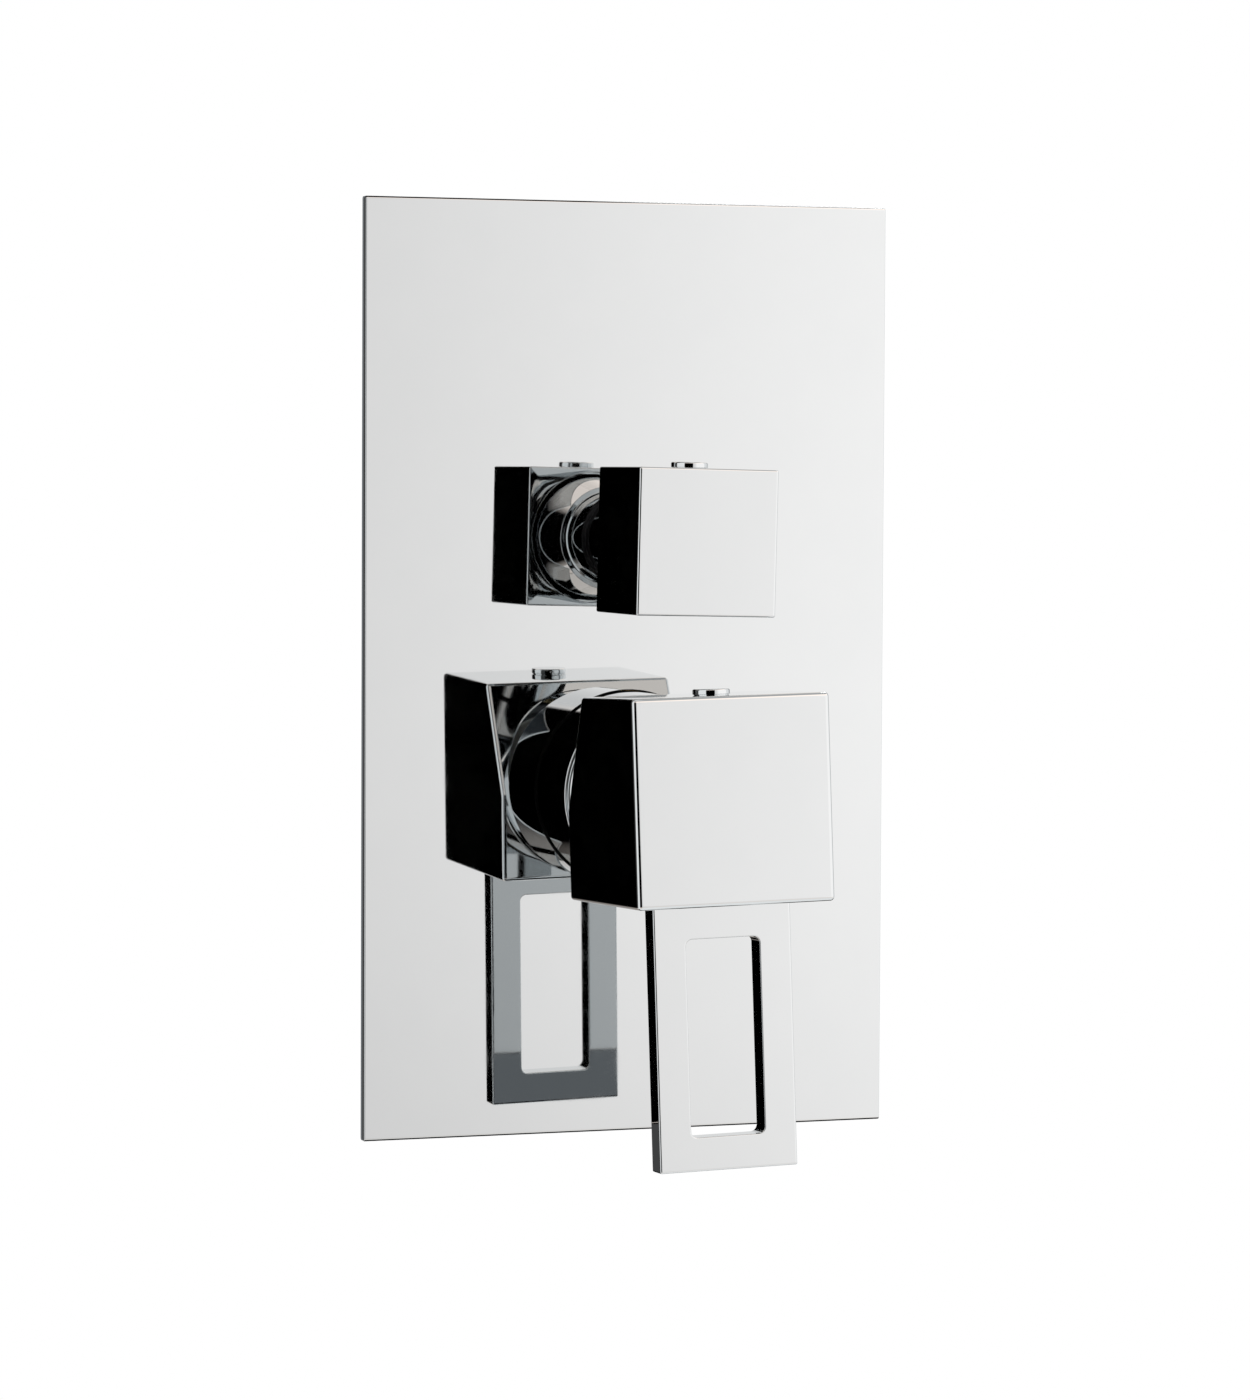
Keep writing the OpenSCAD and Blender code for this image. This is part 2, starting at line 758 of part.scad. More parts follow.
module lever_stem() {
  barrel_d = stem_w + 1;
  color(brass) on_handle() difference() {
    union() {
      translate([-stem_w / 2, -stem_w / 2, pivot_s]) cube([stem_w, stem_w, stem_len]);
      translate([0, 0, pivot_s]) rotate([0, 90, 0]) cylinder(d = barrel_d, h = stem_w, center = true);
      taper(ball_d / 2 - 0.5, 3, ball_s, pivot_s);
      translate([0, 0, ball_s]) sphere(d = ball_d);
    }
    translate([0, 0, pivot_s]) rotate([0, 90, 0]) cylinder(d = pin_d + 2 * slip, h = cart_d, center = true);
  }
}

// Handle

module hub_solid() {
  half = hub_w / 2;
  run = (half + hub_kink) * tan(hub_slope);
  side = [[-half, hub_back], [-half, hub_front], [half, hub_front], [half, hub_back + run],
    [-hub_kink, hub_back]];
  intersection() {
    linear_extrude(hub_front + cut) round_rect(hub_w, hub_w, hub_edge);
    translate([0, 0, hub_back + hub_len / 2]) along_y(hub_w + cut) round_rect(hub_w, hub_len, hub_edge);
    along_x(hub_w + cut) polygon(soften(side, hub_edge));
  }
}

module mixer_hub() {
  half = hub_w / 2;
  socket = stem_w + 2 * snug;
  slot_w = tongue_w + 2 * snug;
  slot_t = loop_t - 2 * loop_edge + 2 * snug;
  color(chrome) on_handle() difference() {
    hub_solid();
    difference() {
      rod(half - hub_wall, hub_back - cut, hollow_end);
      rod(hub_boss_d / 2, boss_back, hollow_end + cut);
    }
    translate([-socket / 2, -socket / 2, hub_back]) cube([socket, socket, stem_end + 0.2 - hub_back]);
    translate([0, 0, grub_s]) rotate([90, 0, 0]) cylinder(d = grub_d + 2 * snug, h = hub_w);
    translate([-slot_w / 2, -half - cut, loop_mid - slot_t / 2])
      cube([slot_w, tongue_len + snug + cut, slot_t]);
    translate([0, 0, loop_mid]) rotate([90, 0, 0]) {
      cylinder(d = screw_d + 2 * snug, h = hub_w, center = true);
      translate([0, 0, -half - cut])
        cylinder(d = screw_head_d + 0.4, h = cap_plug + 0.5 + screw_head + cut);
    }
  }
}

module lever_loop() {
  top = -hub_w / 2;
  window_h = loop_len - top_bar - bottom_bar;
  tongue_t = loop_t - 2 * loop_edge;
  color(chrome) on_handle() difference() {
    union() {
      translate([0, top - loop_len / 2, loop_front - loop_t]) soft_block(loop_w, loop_len, loop_t, loop_edge);
      translate([-tongue_w / 2, top - 2, loop_mid - tongue_t / 2]) cube([tongue_w, tongue_len + 2, tongue_t]);
    }
    translate([0, top - top_bar - window_h / 2, loop_front - loop_t - cut])
      linear_extrude(loop_t + 2 * cut) round_rect(loop_w - 2 * side_bar, window_h, window_r);
    translate([0, top + tongue_len + cut, loop_mid]) rotate([90, 0, 0])
      cylinder(d = screw_d, h = screw_bite + 2 * cut);
  }
}

module lever_screw() {
  head_top = hub_w / 2 - cap_plug - 0.5;
  tip = tongue_len - hub_w / 2 - screw_bite;
  color(steel) on_handle() translate([0, head_top, loop_mid]) rotate([90, 0, 0]) difference() {
    union() {
      rod(screw_head_d / 2, 0, screw_head);
      rod(screw_d / 2, 0, head_top - tip);
    }
    translate([0, 0, -cut]) hex_key(3, cut + 2);
  }
}

module hub_grub_screw() {
  color(steel) on_handle() translate([0, -stem_w / 2 - snug, grub_s]) rotate([90, 0, 0]) difference() {
    rod(grub_d / 2, 0, grub_len);
    translate([0, 0, grub_len - 3]) hex_key(2.5, 4);
  }
}

// Round cap with a softened top edge and a plug below
module cap(top) {
  soft = 0.5;
  translate([0, top, 0]) rotate([-90, 0, 0]) {
    rod(screw_head_d / 2 + 0.1, -cap_plug, cut / 2);
    rod(cap_d / 2, 0, cap_h - soft);
    taper(cap_d / 2, cap_d / 2 - soft, cap_h - soft, cap_h);
  }
}

module hub_cap() {
  color(chrome) on_handle() translate([0, 0, loop_mid]) cap(hub_w / 2);
}

// Diverter

module diverter_housing() {
  color(brass) on_diverter() difference() {
    union() {
      rod(head_d / 2 - 0.9, div_fixed_back, drum_front);
      rod(head_d / 2, thread_back, drum_front);
      translate([0, 0, drum_front]) cylinder(d = hex_af / cos(30), h = hex_front - drum_front, $fn = 6);
      rod(sleeve_bore - loose, hex_front, head_front);
    }
    rod(disc_d / 2 + 0.2, div_fixed_back - cut, shoulder_s);
    rod(spindle_d / 2 + slip, shoulder_s - cut, head_front + cut);
    for (a = [0:90:270]) rotate(a) translate([0, -2.5, rotor_back]) cube([head_d, 5, 4.6]);
    difference() {
      rod(sleeve_bore + cut, head_seal_s - 1, head_seal_s + 1);
      rod(sleeve_bore - loose - 1.1, head_seal_s - 2, head_seal_s + 2);
    }
  }
}

sleeve_bore = stem_sleeve_d / 2 - stem_sleeve_wall;
head_seal_s = head_front - head_seal_back;

module diverter_sleeve_seal() {
  color(rubber) on_diverter() o_ring(sleeve_bore - snug - 0.65, 1.3, head_seal_s);
}

module diverter_seat_seal() {
  color(rubber) on_diverter() translate([0, 0, seat_s]) linear_extrude(div_fixed_back - seat_s) difference() {
    circle(d = head_d - 0.4);
    for (a = outlet_angles) rotate(a) translate([outlet_ring, 0]) circle(r = outlet_r + 0.2);
  }
}

module diverter_fixed_disc() {
  color(ceramic) on_diverter() translate([0, 0, div_fixed_back]) linear_extrude(disc_t) difference() {
    circle(d = disc_d);
    for (a = outlet_angles)
      kidney(outlet_ring - outlet_width / 2, outlet_ring + outlet_width / 2, a, outlet_half);
  }
}

// What turns with the knob: at its first stop the notch stands over the right outlet
module on_rotor() {
  on_knob() rotate([0, 0, outlet_turn - 90]) children();
}

module diverter_rotor() {
  color(ceramic) on_rotor() translate([0, 0, rotor_back]) difference() {
    linear_extrude(disc_t) difference() {
      circle(d = disc_d);
      kidney(outlet_ring - outlet_width / 2, disc_d, 0, outlet_half + 10);
    }
    translate([-tongue_half - snug, -disc_d, disc_t - 0.9]) cube([2 * (tongue_half + snug), 2 * disc_d, 2]);
  }
}

tongue_half = 2;

module diverter_spindle() {
  color(brass) on_knob() {
    rotate([0, 0, outlet_turn - 90]) translate([-tongue_half, 1 - disc_d / 2, rotor_front - 0.8])
      cube([2 * tongue_half, disc_d - 2, 2]);
    difference() {
      union() {
        rod(disc_d / 2, rotor_front, flange_end);
        rod(spindle_d / 2, flange_end - cut, head_front + 0.5);
        rod(spline_d / 2 + loose, head_front, socket_s + cut / 2);
      }
      for (at = seal_stations) difference() {
        rod(spindle_d, at - 0.8, at + 0.8);
        rod(spindle_d / 2 - seal_groove, at - 1, at + 1);
      }
    }
    translate([0, 0, socket_s]) linear_extrude(spline_len) spline(spline_d);
  }
}

seal_stations = [shoulder_s + 4, shoulder_s + 9];
seal_groove = 1;

module spindle_seals() {
  section = seal_groove - snug;
  color(rubber) on_knob() for (at = seal_stations) o_ring(spindle_d / 2 - seal_groove / 2, section, at);
}

module diverter_knob() {
  half = knob_w / 2;
  color(chrome) on_knob() difference() {
    translate([0, 0, knob_back]) soft_block(knob_w, knob_w, knob_len, knob_edge);
    rod(rim_d / 2 + rim_gap, knob_back - cut, knob_back + recess_len);
    difference() {
      rod(12, knob_back, knob_back + recess_len + 5);
      rod(7.5, knob_back, knob_back + recess_len + 6);
    }
    translate([0, 0, knob_back]) linear_extrude(spline_end + 0.3 - knob_back) spline(spline_d + 2 * slip);
    translate([0, 0, knob_cap_s]) rotate([-90, 0, 0]) {
      rod(knob_grub_d / 2 + snug, 0, half);
      rod(screw_head_d / 2 + 0.2, half - cap_plug - 0.5, half + cut);
    }
  }
}

module knob_grub_screw() {
  color(steel) on_knob() translate([0, spline_d / 2 + snug, knob_cap_s]) rotate([-90, 0, 0]) difference() {
    rod(knob_grub_d / 2, 0, knob_grub_len);
    translate([0, 0, knob_grub_len - 2.5]) hex_key(2, 3);
  }
}

module knob_cap() {
  color(chrome) on_knob() translate([0, 0, knob_cap_s]) cap(knob_w / 2);
}

face_plate();
plate_gasket();
mixer_plate_ring();
diverter_plate_ring();
mixer_sleeve();
diverter_sleeve();
valve_body();
mixer_sleeve_seal();
diverter_sleeve_seal();
cartridge_nut();
cartridge_shell();
cartridge_base();
port_seals();
fixed_disc();
moving_disc();
disc_driver();
stem_carrier();
pivot_pin();
lever_stem();
mixer_hub();
lever_loop();
lever_screw();
hub_grub_screw();
hub_cap();
diverter_housing();
diverter_seat_seal();
diverter_fixed_disc();
diverter_rotor();
diverter_spindle();
spindle_seals();
diverter_knob();
knob_grub_screw();
knob_cap();
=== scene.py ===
import json
import math

import bpy
import numpy as np
from mathutils import Matrix


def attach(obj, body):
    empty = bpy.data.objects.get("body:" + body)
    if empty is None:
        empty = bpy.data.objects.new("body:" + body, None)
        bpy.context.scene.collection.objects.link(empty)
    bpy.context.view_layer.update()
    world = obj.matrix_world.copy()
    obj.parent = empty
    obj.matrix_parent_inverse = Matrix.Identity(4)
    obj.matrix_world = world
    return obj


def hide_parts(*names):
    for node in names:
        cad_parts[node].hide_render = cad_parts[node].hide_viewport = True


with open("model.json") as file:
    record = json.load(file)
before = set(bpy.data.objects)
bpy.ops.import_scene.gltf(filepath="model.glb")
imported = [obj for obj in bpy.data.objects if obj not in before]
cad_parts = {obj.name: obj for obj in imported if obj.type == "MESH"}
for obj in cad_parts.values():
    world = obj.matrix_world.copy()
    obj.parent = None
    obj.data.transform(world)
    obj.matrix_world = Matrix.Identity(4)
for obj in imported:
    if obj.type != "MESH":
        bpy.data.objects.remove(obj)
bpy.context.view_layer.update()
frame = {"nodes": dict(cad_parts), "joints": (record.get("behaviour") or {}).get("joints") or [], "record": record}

mm = 0.001
print("frame loaded:", len(frame["nodes"]), "nodes")


# Where the pieces stand. Each axis has its own frame in millimetres: x to the right, y up, z out of the wall.

def jointNamed(name):
    return next(joint for joint in frame["joints"] if joint["name"] == name)


turnJoint, liftJoint, divertJoint = map(jointNamed, ("mixer_turn", "mixer_lift", "diverter_turn"))
stand = {
    "mixerHeight": turnJoint["pos_m"][2] / mm,
    "diverterHeight": divertJoint["pos_m"][2] / mm,
    "pivot": -liftJoint["pos_m"][1] / mm,
    "turn": math.atan2(-liftJoint["axis"][2], -liftJoint["axis"][0]),
    "lift": math.radians(-liftJoint["range_deg"][0]),
    "divert": math.radians(-divertJoint["range_deg"][0]),
}


def rotated(points, angle, first, second):
    # turns the two named columns of the points into each other by the angle
    turned = points.copy()
    turned[:, first] = math.cos(angle) * points[:, first] - math.sin(angle) * points[:, second]
    turned[:, second] = math.sin(angle) * points[:, first] + math.cos(angle) * points[:, second]
    return turned


def toWorld(points, height):
    # the axis frame's (x, y, z) becomes (x, -z, height + y) in metres
    return np.stack([points[:, 0], -points[:, 2], points[:, 1] + height], axis=1) * mm


def onMixer(points):
    return toWorld(points, stand["mixerHeight"])


def onDiverter(points):
    return toWorld(points, stand["diverterHeight"])


def onHandle(points):
    # lifted about the pivot pin, then turned about the mixer's axis
    pin = np.array([0, 0, stand["pivot"]])
    lifted = rotated(points - pin, -stand["lift"], 1, 2) + pin
    return onMixer(rotated(lifted, stand["turn"], 0, 1))


def onKnob(points):
    return onDiverter(rotated(points, -stand["divert"], 0, 1))


# Surfaces

sharpAbove = 32  # degrees between faces, above which an edge is shaded sharp
guard = 0.15  # how far from a rounded edge the ring stands that keeps the flat beside it flat
nearby = 0.1  # the same beside the smaller edges
# Columns round a square, in degrees: the half of a corner's turn, the turn up to which they run straight, and
# how far they are apart along a side
square = {"cornerSteps": 8, "cornerTurn": 2.0, "straightTurn": 10, "turnStep": 2.5}


def ringShell(rings, loop=False):
    # rings is rows x columns x 3; row i is joined to row i + 1 by quads, and the last column to the first.
    # The first and last rings are closed with one flat face each, or a loop joins the last row to the first.
    rows, columns = rings.shape[:2]
    row = np.arange(rows if loop else rows - 1)[:, None]
    column = np.arange(columns)[None, :]
    here = row * columns
    below = (row + 1) % rows * columns
    after = (column + 1) % columns
    quads = np.stack([here + column, below + column, below + after, here + after], axis=-1)
    faces = quads.reshape(-1, 4).tolist()
    if not loop:
        faces.append(list(range(columns)))
        faces.append(list(range(rows * columns - 1, (rows - 1) * columns - 1, -1)))
    return rings.reshape(-1, 3), faces


def shadeSmooth(mesh, sharp=sharpAbove):
    # smooth but for edges sharper than the given angle in degrees
    mesh.shade_smooth()
    mesh.set_sharp_from_angle(angle=math.radians(sharp))


def makePiece(name, shells, place, sharp=sharpAbove):
    # puts the shells into one mesh, each point where the place function says
    points, faces, start = [], [], 0
    for shellPoints, shellFaces in shells:
        points.append(place(shellPoints))
        faces += [[start + corner for corner in face] for face in shellFaces]
        start += len(shellPoints)
    mesh = bpy.data.meshes.new(name)
    mesh.from_pydata(np.concatenate(points).tolist(), [], faces)
    mesh.update()
    shadeSmooth(mesh, sharp)
    piece = bpy.data.objects.new(name, mesh)
    bpy.context.scene.collection.objects.link(piece)
    return piece


def dress(piece, body, slot, material, *nodes):
    # rides the piece on its body, gives it its material, and lets it stand for CAD nodes
    piece.data.materials.append(material)
    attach(piece, body)
    if nodes:
        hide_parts(*nodes)


def revolve(profile, columns=144):
    # each (radius, z) of the profile is carried round the axis: (r cos a, r sin a, z)
    angle = np.linspace(0, 2 * np.pi, columns, endpoint=False)
    radius, z = np.array(profile, float).T
    return np.stack([radius[:, None] * np.cos(angle), radius[:, None] * np.sin(angle),
                     np.repeat(z[:, None], columns, axis=1)], axis=-1)


def arcPoints(centre, radius, start, end, steps):
    # points on a circle from one angle to another, in degrees
    angle = np.radians(np.linspace(start, end, steps + 1))
    return [(centre[0] + radius * math.cos(a), centre[1] + radius * math.sin(a)) for a in angle]


def squareColumns(half, radius, sideTurns, level):
    # Columns round a square with round corners. Each has the centre of its corner circle or the matching point
    # on the side, its outward direction, and the turn at which it meets a circle round the same axis. Near the
    # middle of a side it is level sin(turn) along the side, so it runs straight across to a circle of that size.
    base, out, turn = [], [], []
    inner = half - radius
    cornerTurn, straightTurn = square["cornerTurn"], square["straightTurn"]
    reach = 45 - cornerTurn
    corner = np.linspace(0, 90, square["cornerSteps"] + 1)[1:-1]
    cornerOut = np.stack([np.cos(np.radians(corner)), np.sin(np.radians(corner))], axis=1)
    for quarter, turns in enumerate(sideTurns):
        turns = np.array(turns, float)
        share = np.clip((np.abs(turns) - straightTurn) / (reach - straightTurn), 0, 1)
        share = share * share * (3 - 2 * share)
        straight = level * np.sin(np.radians(turns))
        fanned = inner * np.tan(np.radians(turns * 45 / reach))
        along = straight * (1 - share) + fanned * share
        side = np.stack([np.full(len(turns), inner), along], axis=1)
        a = math.radians(90 * quarter)
        spin = np.array([[math.cos(a), math.sin(a)], [-math.sin(a), math.cos(a)]])
        base.append(np.concatenate([side, np.full((len(corner), 2), inner)]) @ spin)
        out.append(np.concatenate([np.tile([1.0, 0.0], (len(turns), 1)), cornerOut]) @ spin)
        turn.append(np.concatenate([turns, reach + 2 * cornerTurn * corner / 90]) + 90 * quarter)
    return np.concatenate(base), np.concatenate(out), np.radians(np.concatenate(turn))


def evenTurns():
    # the turns of a side's columns, evenly spaced between the corners
    reach = 45 - square["cornerTurn"]
    return np.linspace(-reach, reach, int(2 * reach / square["turnStep"]) + 1)


def flatRing(xy, z):
    # the points (x, y) at the depth z, one for all or one for each
    return np.concatenate([xy, np.broadcast_to(z, len(xy))[:, None]], axis=1)


def circleRing(turn, radius, z):
    # (r cos a, r sin a, z) at the given turns
    return flatRing(radius * np.stack([np.cos(turn), np.sin(turn)], axis=1), z)


def edgeRings(base, out, radius, front):
    # the rounded front edge: inset r (1 - cos t), depth front - r (1 - sin t), with a flat ring just inside it
    rings = [flatRing(base * (1 - guard / np.abs(base).max()), front)]
    for t in np.linspace(np.pi / 2, 0, 9):
        rings.append(flatRing(base + radius * math.cos(t) * out, front - radius * (1 - math.sin(t))))
    return rings


def rectColumns(halfWide, halfHigh, middle, radius, sideSteps=10, cornerSteps=8):
    # columns round a rectangle with round corners: the corner circles' centres and the outward directions
    base, out = [], []
    inner = np.array([halfWide - radius, halfHigh - radius])
    for quarter, signs in enumerate(((1, 1), (-1, 1), (-1, -1), (1, -1))):
        centre = inner * signs
        angle = np.radians(90 * quarter + np.linspace(0, 90, cornerSteps + 1))
        base.append(np.repeat(centre[None], len(angle), axis=0))
        out.append(np.stack([np.cos(angle), np.sin(angle)], axis=1))
        following = inner * ((-1, 1), (-1, -1), (1, -1), (1, 1))[quarter]
        share = np.linspace(0, 1, sideSteps + 1)[1:-1, None]
        base.append(centre + share * (following - centre))
        out.append(np.repeat(out[-1][-1:], len(share), axis=0))
    return np.concatenate(base) + [0, middle], np.concatenate(out)


def cutHole(piece, points, faces, name):
    # takes a plain closed shell out of the piece and keeps the result as its mesh
    cutter = bpy.data.objects.new(name, bpy.data.meshes.new(name))
    cutter.data.from_pydata(points.tolist(), [], faces)
    bpy.context.scene.collection.objects.link(cutter)
    boolean = piece.modifiers.new("hole", "BOOLEAN")
    boolean.operation = "DIFFERENCE"
    boolean.solver = "EXACT"
    boolean.object = cutter
    bpy.context.view_layer.update()
    cut = bpy.data.meshes.new_from_object(piece.evaluated_get(bpy.context.evaluated_depsgraph_get()))
    piece.modifiers.clear()
    old = piece.data
    piece.data = cut
    bpy.data.meshes.remove(old)
    cut.name = piece.name
    bpy.data.objects.remove(cutter)
    shadeSmooth(cut)


# Finishes

noiseSpan = (0.3, 0.7)  # most of a noise's values lie between these


def newFinish(name, color, roughness, metallic=0.0):
    # a material with plain values, its nodes, and the place on the object that its patterns follow
    finish = bpy.data.materials.new(name)
    finish.use_nodes = True
    tree = finish.node_tree
    shader = tree.nodes["Principled BSDF"]
    shader.inputs["Base Color"].default_value = (*color, 1)
    shader.inputs["Roughness"].default_value = roughness
    shader.inputs["Metallic"].default_value = metallic
    return finish, tree, tree.nodes.new("ShaderNodeTexCoord").outputs["Object"]


def completed(finish, color, rough, normal):
    # joins the patterns to the shader
    tree = finish.node_tree
    for name, socket in (("Base Color", color), ("Roughness", rough), ("Normal", normal)):
        tree.links.new(socket, tree.nodes["Principled BSDF"].inputs[name])
    return finish


def addNoise(tree, place, scale, detail=3.0, roughness=0.55):
    # cloudy variation from 0 to 1, scale in features per metre; a look gives these three numbers for each noise
    noise = tree.nodes.new("ShaderNodeTexNoise")
    for name, number in (("Scale", scale), ("Detail", detail), ("Roughness", roughness)):
        noise.inputs[name].default_value = number
    tree.links.new(place, noise.inputs["Vector"])
    return noise.outputs["Fac"]


def addRange(tree, value, fromLow, fromHigh, toLow, toHigh, curve="LINEAR"):
    spread = tree.nodes.new("ShaderNodeMapRange")
    spread.interpolation_type = curve
    for socket, number in zip(("From Min", "From Max", "To Min", "To Max"), (fromLow, fromHigh, toLow, toHigh)):
        spread.inputs[socket].default_value = number
    tree.links.new(value, spread.inputs["Value"])
    return spread.outputs["Result"]


def addMath(tree, kind, first, second=None):
    # one step of arithmetic on a socket, and another socket or a number
    step = tree.nodes.new("ShaderNodeMath")
    step.operation = kind
    tree.links.new(first, step.inputs[0])
    if isinstance(second, float):
        step.inputs[1].default_value = second
    elif second is not None:
        tree.links.new(second, step.inputs[1])
    return step.outputs[0]


def addLength(tree, vector):
    length = tree.nodes.new("ShaderNodeVectorMath")
    length.operation = "LENGTH"
    tree.links.new(vector, length.inputs[0])
    return length.outputs["Value"]


def addSplit(tree, vector):
    split = tree.nodes.new("ShaderNodeSeparateXYZ")
    tree.links.new(vector, split.inputs["Vector"])
    return split.outputs


def addSqueeze(tree, place, scale):
    # the place with its three directions scaled, so that a noise is drawn out along the smaller ones
    squeeze = tree.nodes.new("ShaderNodeMapping")
    squeeze.inputs["Scale"].default_value = scale
    tree.links.new(place, squeeze.inputs["Vector"])
    return squeeze.outputs["Vector"]


def addBlend(tree, factor, first, second):
    # a colour between two, by the factor; either may be a colour or a socket
    blend = tree.nodes.new("ShaderNodeMix")
    blend.data_type = "RGBA"
    tree.links.new(factor, blend.inputs["Factor"])
    for socket, color in ((blend.inputs[6], first), (blend.inputs[7], second)):
        if isinstance(color, tuple):
            socket.default_value = (*color, 1)
        else:
            tree.links.new(color, socket)
    return blend.outputs[2]


def addMix(tree, factor, first, second):
    # a number between two others, by the factor; all three are sockets
    mix = tree.nodes.new("ShaderNodeMix")
    for socket, value in zip((mix.inputs[0], mix.inputs[2], mix.inputs[3]), (factor, first, second)):
        tree.links.new(value, socket)
    return mix.outputs[0]


def addBump(tree, height, distance):
    bump = tree.nodes.new("ShaderNodeBump")
    bump.inputs["Distance"].default_value = distance
    bump.inputs["Strength"].default_value = 1.0
    tree.links.new(height, bump.inputs["Height"])
    return bump.outputs["Normal"]


chromeLook = {
    "dark": (0.655, 0.678, 0.688), "light": (0.675, 0.697, 0.706), "smudge": (90, 4), "smudgeSpan": (0.35, 0.75),
    "rough": (0.012, 0.045), "wave": (22, 1), "waveDepth": 0.000012,
}


def polishedChrome(name="polishedChrome"):
    # a mirror polish: a long faint wave from polishing, and cloudy patches that are a little less sharp
    finish, tree, place = newFinish(name, chromeLook["light"], chromeLook["rough"][0], 1.0)
    cloud = addNoise(tree, place, *chromeLook["smudge"])
    wave = addNoise(tree, place, *chromeLook["wave"])
    return completed(finish, addBlend(tree, cloud, chromeLook["dark"], chromeLook["light"]),
                     addRange(tree, cloud, *chromeLook["smudgeSpan"], *chromeLook["rough"]),
                     addBump(tree, wave, chromeLook["waveDepth"]))


backLook = {
    "color": (0.56, 0.57, 0.57), "rough": (0.28, 0.40), "lines": (900, 3), "squeeze": (1.0, 1.0, 0.02),
    "starts": (-0.00115, -0.00105),
}


def plateFinish():
    # the front is polished; the back is plain rolled sheet with fine upright lines
    polished = polishedChrome("plateChrome")
    tree = polished.node_tree
    color, rough = (tree.nodes["Principled BSDF"].inputs[name] for name in ("Base Color", "Roughness"))
    place = next(node for node in tree.nodes if node.type == "TEX_COORD").outputs["Object"]
    behind = addRange(tree, addSplit(tree, place)["Y"], *backLook["starts"], 0, 1)
    lines = addNoise(tree, addSqueeze(tree, place, backLook["squeeze"]), *backLook["lines"])
    lined = addRange(tree, lines, *noiseSpan, *backLook["rough"])
    tree.links.new(addBlend(tree, behind, color.links[0].from_socket, backLook["color"]), color)
    tree.links.new(addMix(tree, behind, rough.links[0].from_socket, lined), rough)
    return polished


# The four ports, for the mask of the machined faces and for the threads further on
ports = {
    "end": 50.0, "threadLength": 15.0, "depth": -28.0, "wall": 9.5, "crest": 9.12, "pitch": 1.814, "buried": 0.2,
    "proud": 0.02, "runIn": 0.3, "fadeLength": 1.1, "ridge": (1.35, 0.1), "rows": 110, "columns": 96,
    "maskBeyond": 0.2, "maskBelow": 0.8, "maskFade": 0.1,
}
castLook = {
    "dull": (0.42, 0.29, 0.12), "warm": (0.62, 0.46, 0.22), "plainRough": 0.5, "patch": (60, 5, 0.6),
    "rough": (0.58, 0.40), "grain": (1500, 3, 0.6), "grainDepth": 0.00022, "cutGrain": 0.04,
    "cutColor": (0.82, 0.65, 0.34), "cutRough": (0.18, 0.32), "toolLines": (3200, 2),
}


def machinedMask(tree, place):
    # 1 on the ports' end faces and in their threaded bores, by the distance along x and from the bores' axes
    split = addSplit(tree, place)
    middle = (stand["mixerHeight"] + stand["diverterHeight"]) / 2 * mm
    gap = (stand["diverterHeight"] - stand["mixerHeight"]) / 2 * mm
    outward = addMath(tree, "ABSOLUTE", split["X"])
    fromMiddle = addMath(tree, "ABSOLUTE", addMath(tree, "SUBTRACT", split["Z"], middle))
    across = tree.nodes.new("ShaderNodeCombineXYZ")
    tree.links.new(addMath(tree, "ADD", split["Y"], ports["depth"] * mm), across.inputs["X"])
    tree.links.new(addMath(tree, "SUBTRACT", fromMiddle, gap), across.inputs["Y"])
    radius = ports["wall"] + ports["maskBeyond"]
    bottom = ports["end"] - ports["threadLength"] - ports["maskBelow"]
    end, fade = ports["end"] - ports["maskBeyond"], ports["maskFade"]
    inBore = addRange(tree, addLength(tree, across.outputs[0]), (radius + fade) * mm, radius * mm, 0, 1)
    pastBottom = addRange(tree, outward, bottom * mm, (bottom + fade) * mm, 0, 1)
    onEnd = addRange(tree, outward, end * mm, (end + fade) * mm, 0, 1)
    return addMath(tree, "MAXIMUM", addMath(tree, "MULTIPLY", inBore, pastBottom), onEnd)


def castBrass():
    # sand-cast skin: coarse grain, duller in patches, and bright where a tool has cut it
    finish, tree, place = newFinish("castBrass", castLook["warm"], castLook["plainRough"], 1.0)
    cut = machinedMask(tree, place)
    patch, tool, grain = (addNoise(tree, place, *castLook[name]) for name in ("patch", "toolLines", "grain"))
    skin = addBlend(tree, patch, castLook["dull"], castLook["warm"])
    rough = addMix(tree, cut, addRange(tree, patch, *noiseSpan, *castLook["rough"]),
                   addRange(tree, tool, *noiseSpan, *castLook["cutRough"]))
    height = addMath(tree, "MULTIPLY", grain, addRange(tree, cut, 0, 1, 1, castLook["cutGrain"]))
    return completed(finish, addBlend(tree, cut, skin, castLook["cutColor"]), rough,
                     addBump(tree, height, castLook["grainDepth"]))


turnedLook = {
    "dark": (0.66, 0.50, 0.25), "light": (0.80, 0.64, 0.36), "plainRough": 0.3, "tarnish": (140, 4),
    "rough": (0.20, 0.34), "lines": (5200, 2), "squeeze": (0.15, 1.0, 0.15), "lineDepth": 0.000012,
}


def turnedBrass():
    # lathe marks: fine rings round the axis, which is along Y
    finish, tree, place = newFinish("turnedBrass", turnedLook["light"], turnedLook["plainRough"], 1.0)
    lines = addNoise(tree, addSqueeze(tree, place, turnedLook["squeeze"]), *turnedLook["lines"])
    tarnish = addNoise(tree, place, *turnedLook["tarnish"])
    return completed(finish, addBlend(tree, tarnish, turnedLook["dark"], turnedLook["light"]),
                     addRange(tree, lines, *noiseSpan, *turnedLook["rough"]),
                     addBump(tree, lines, turnedLook["lineDepth"]))


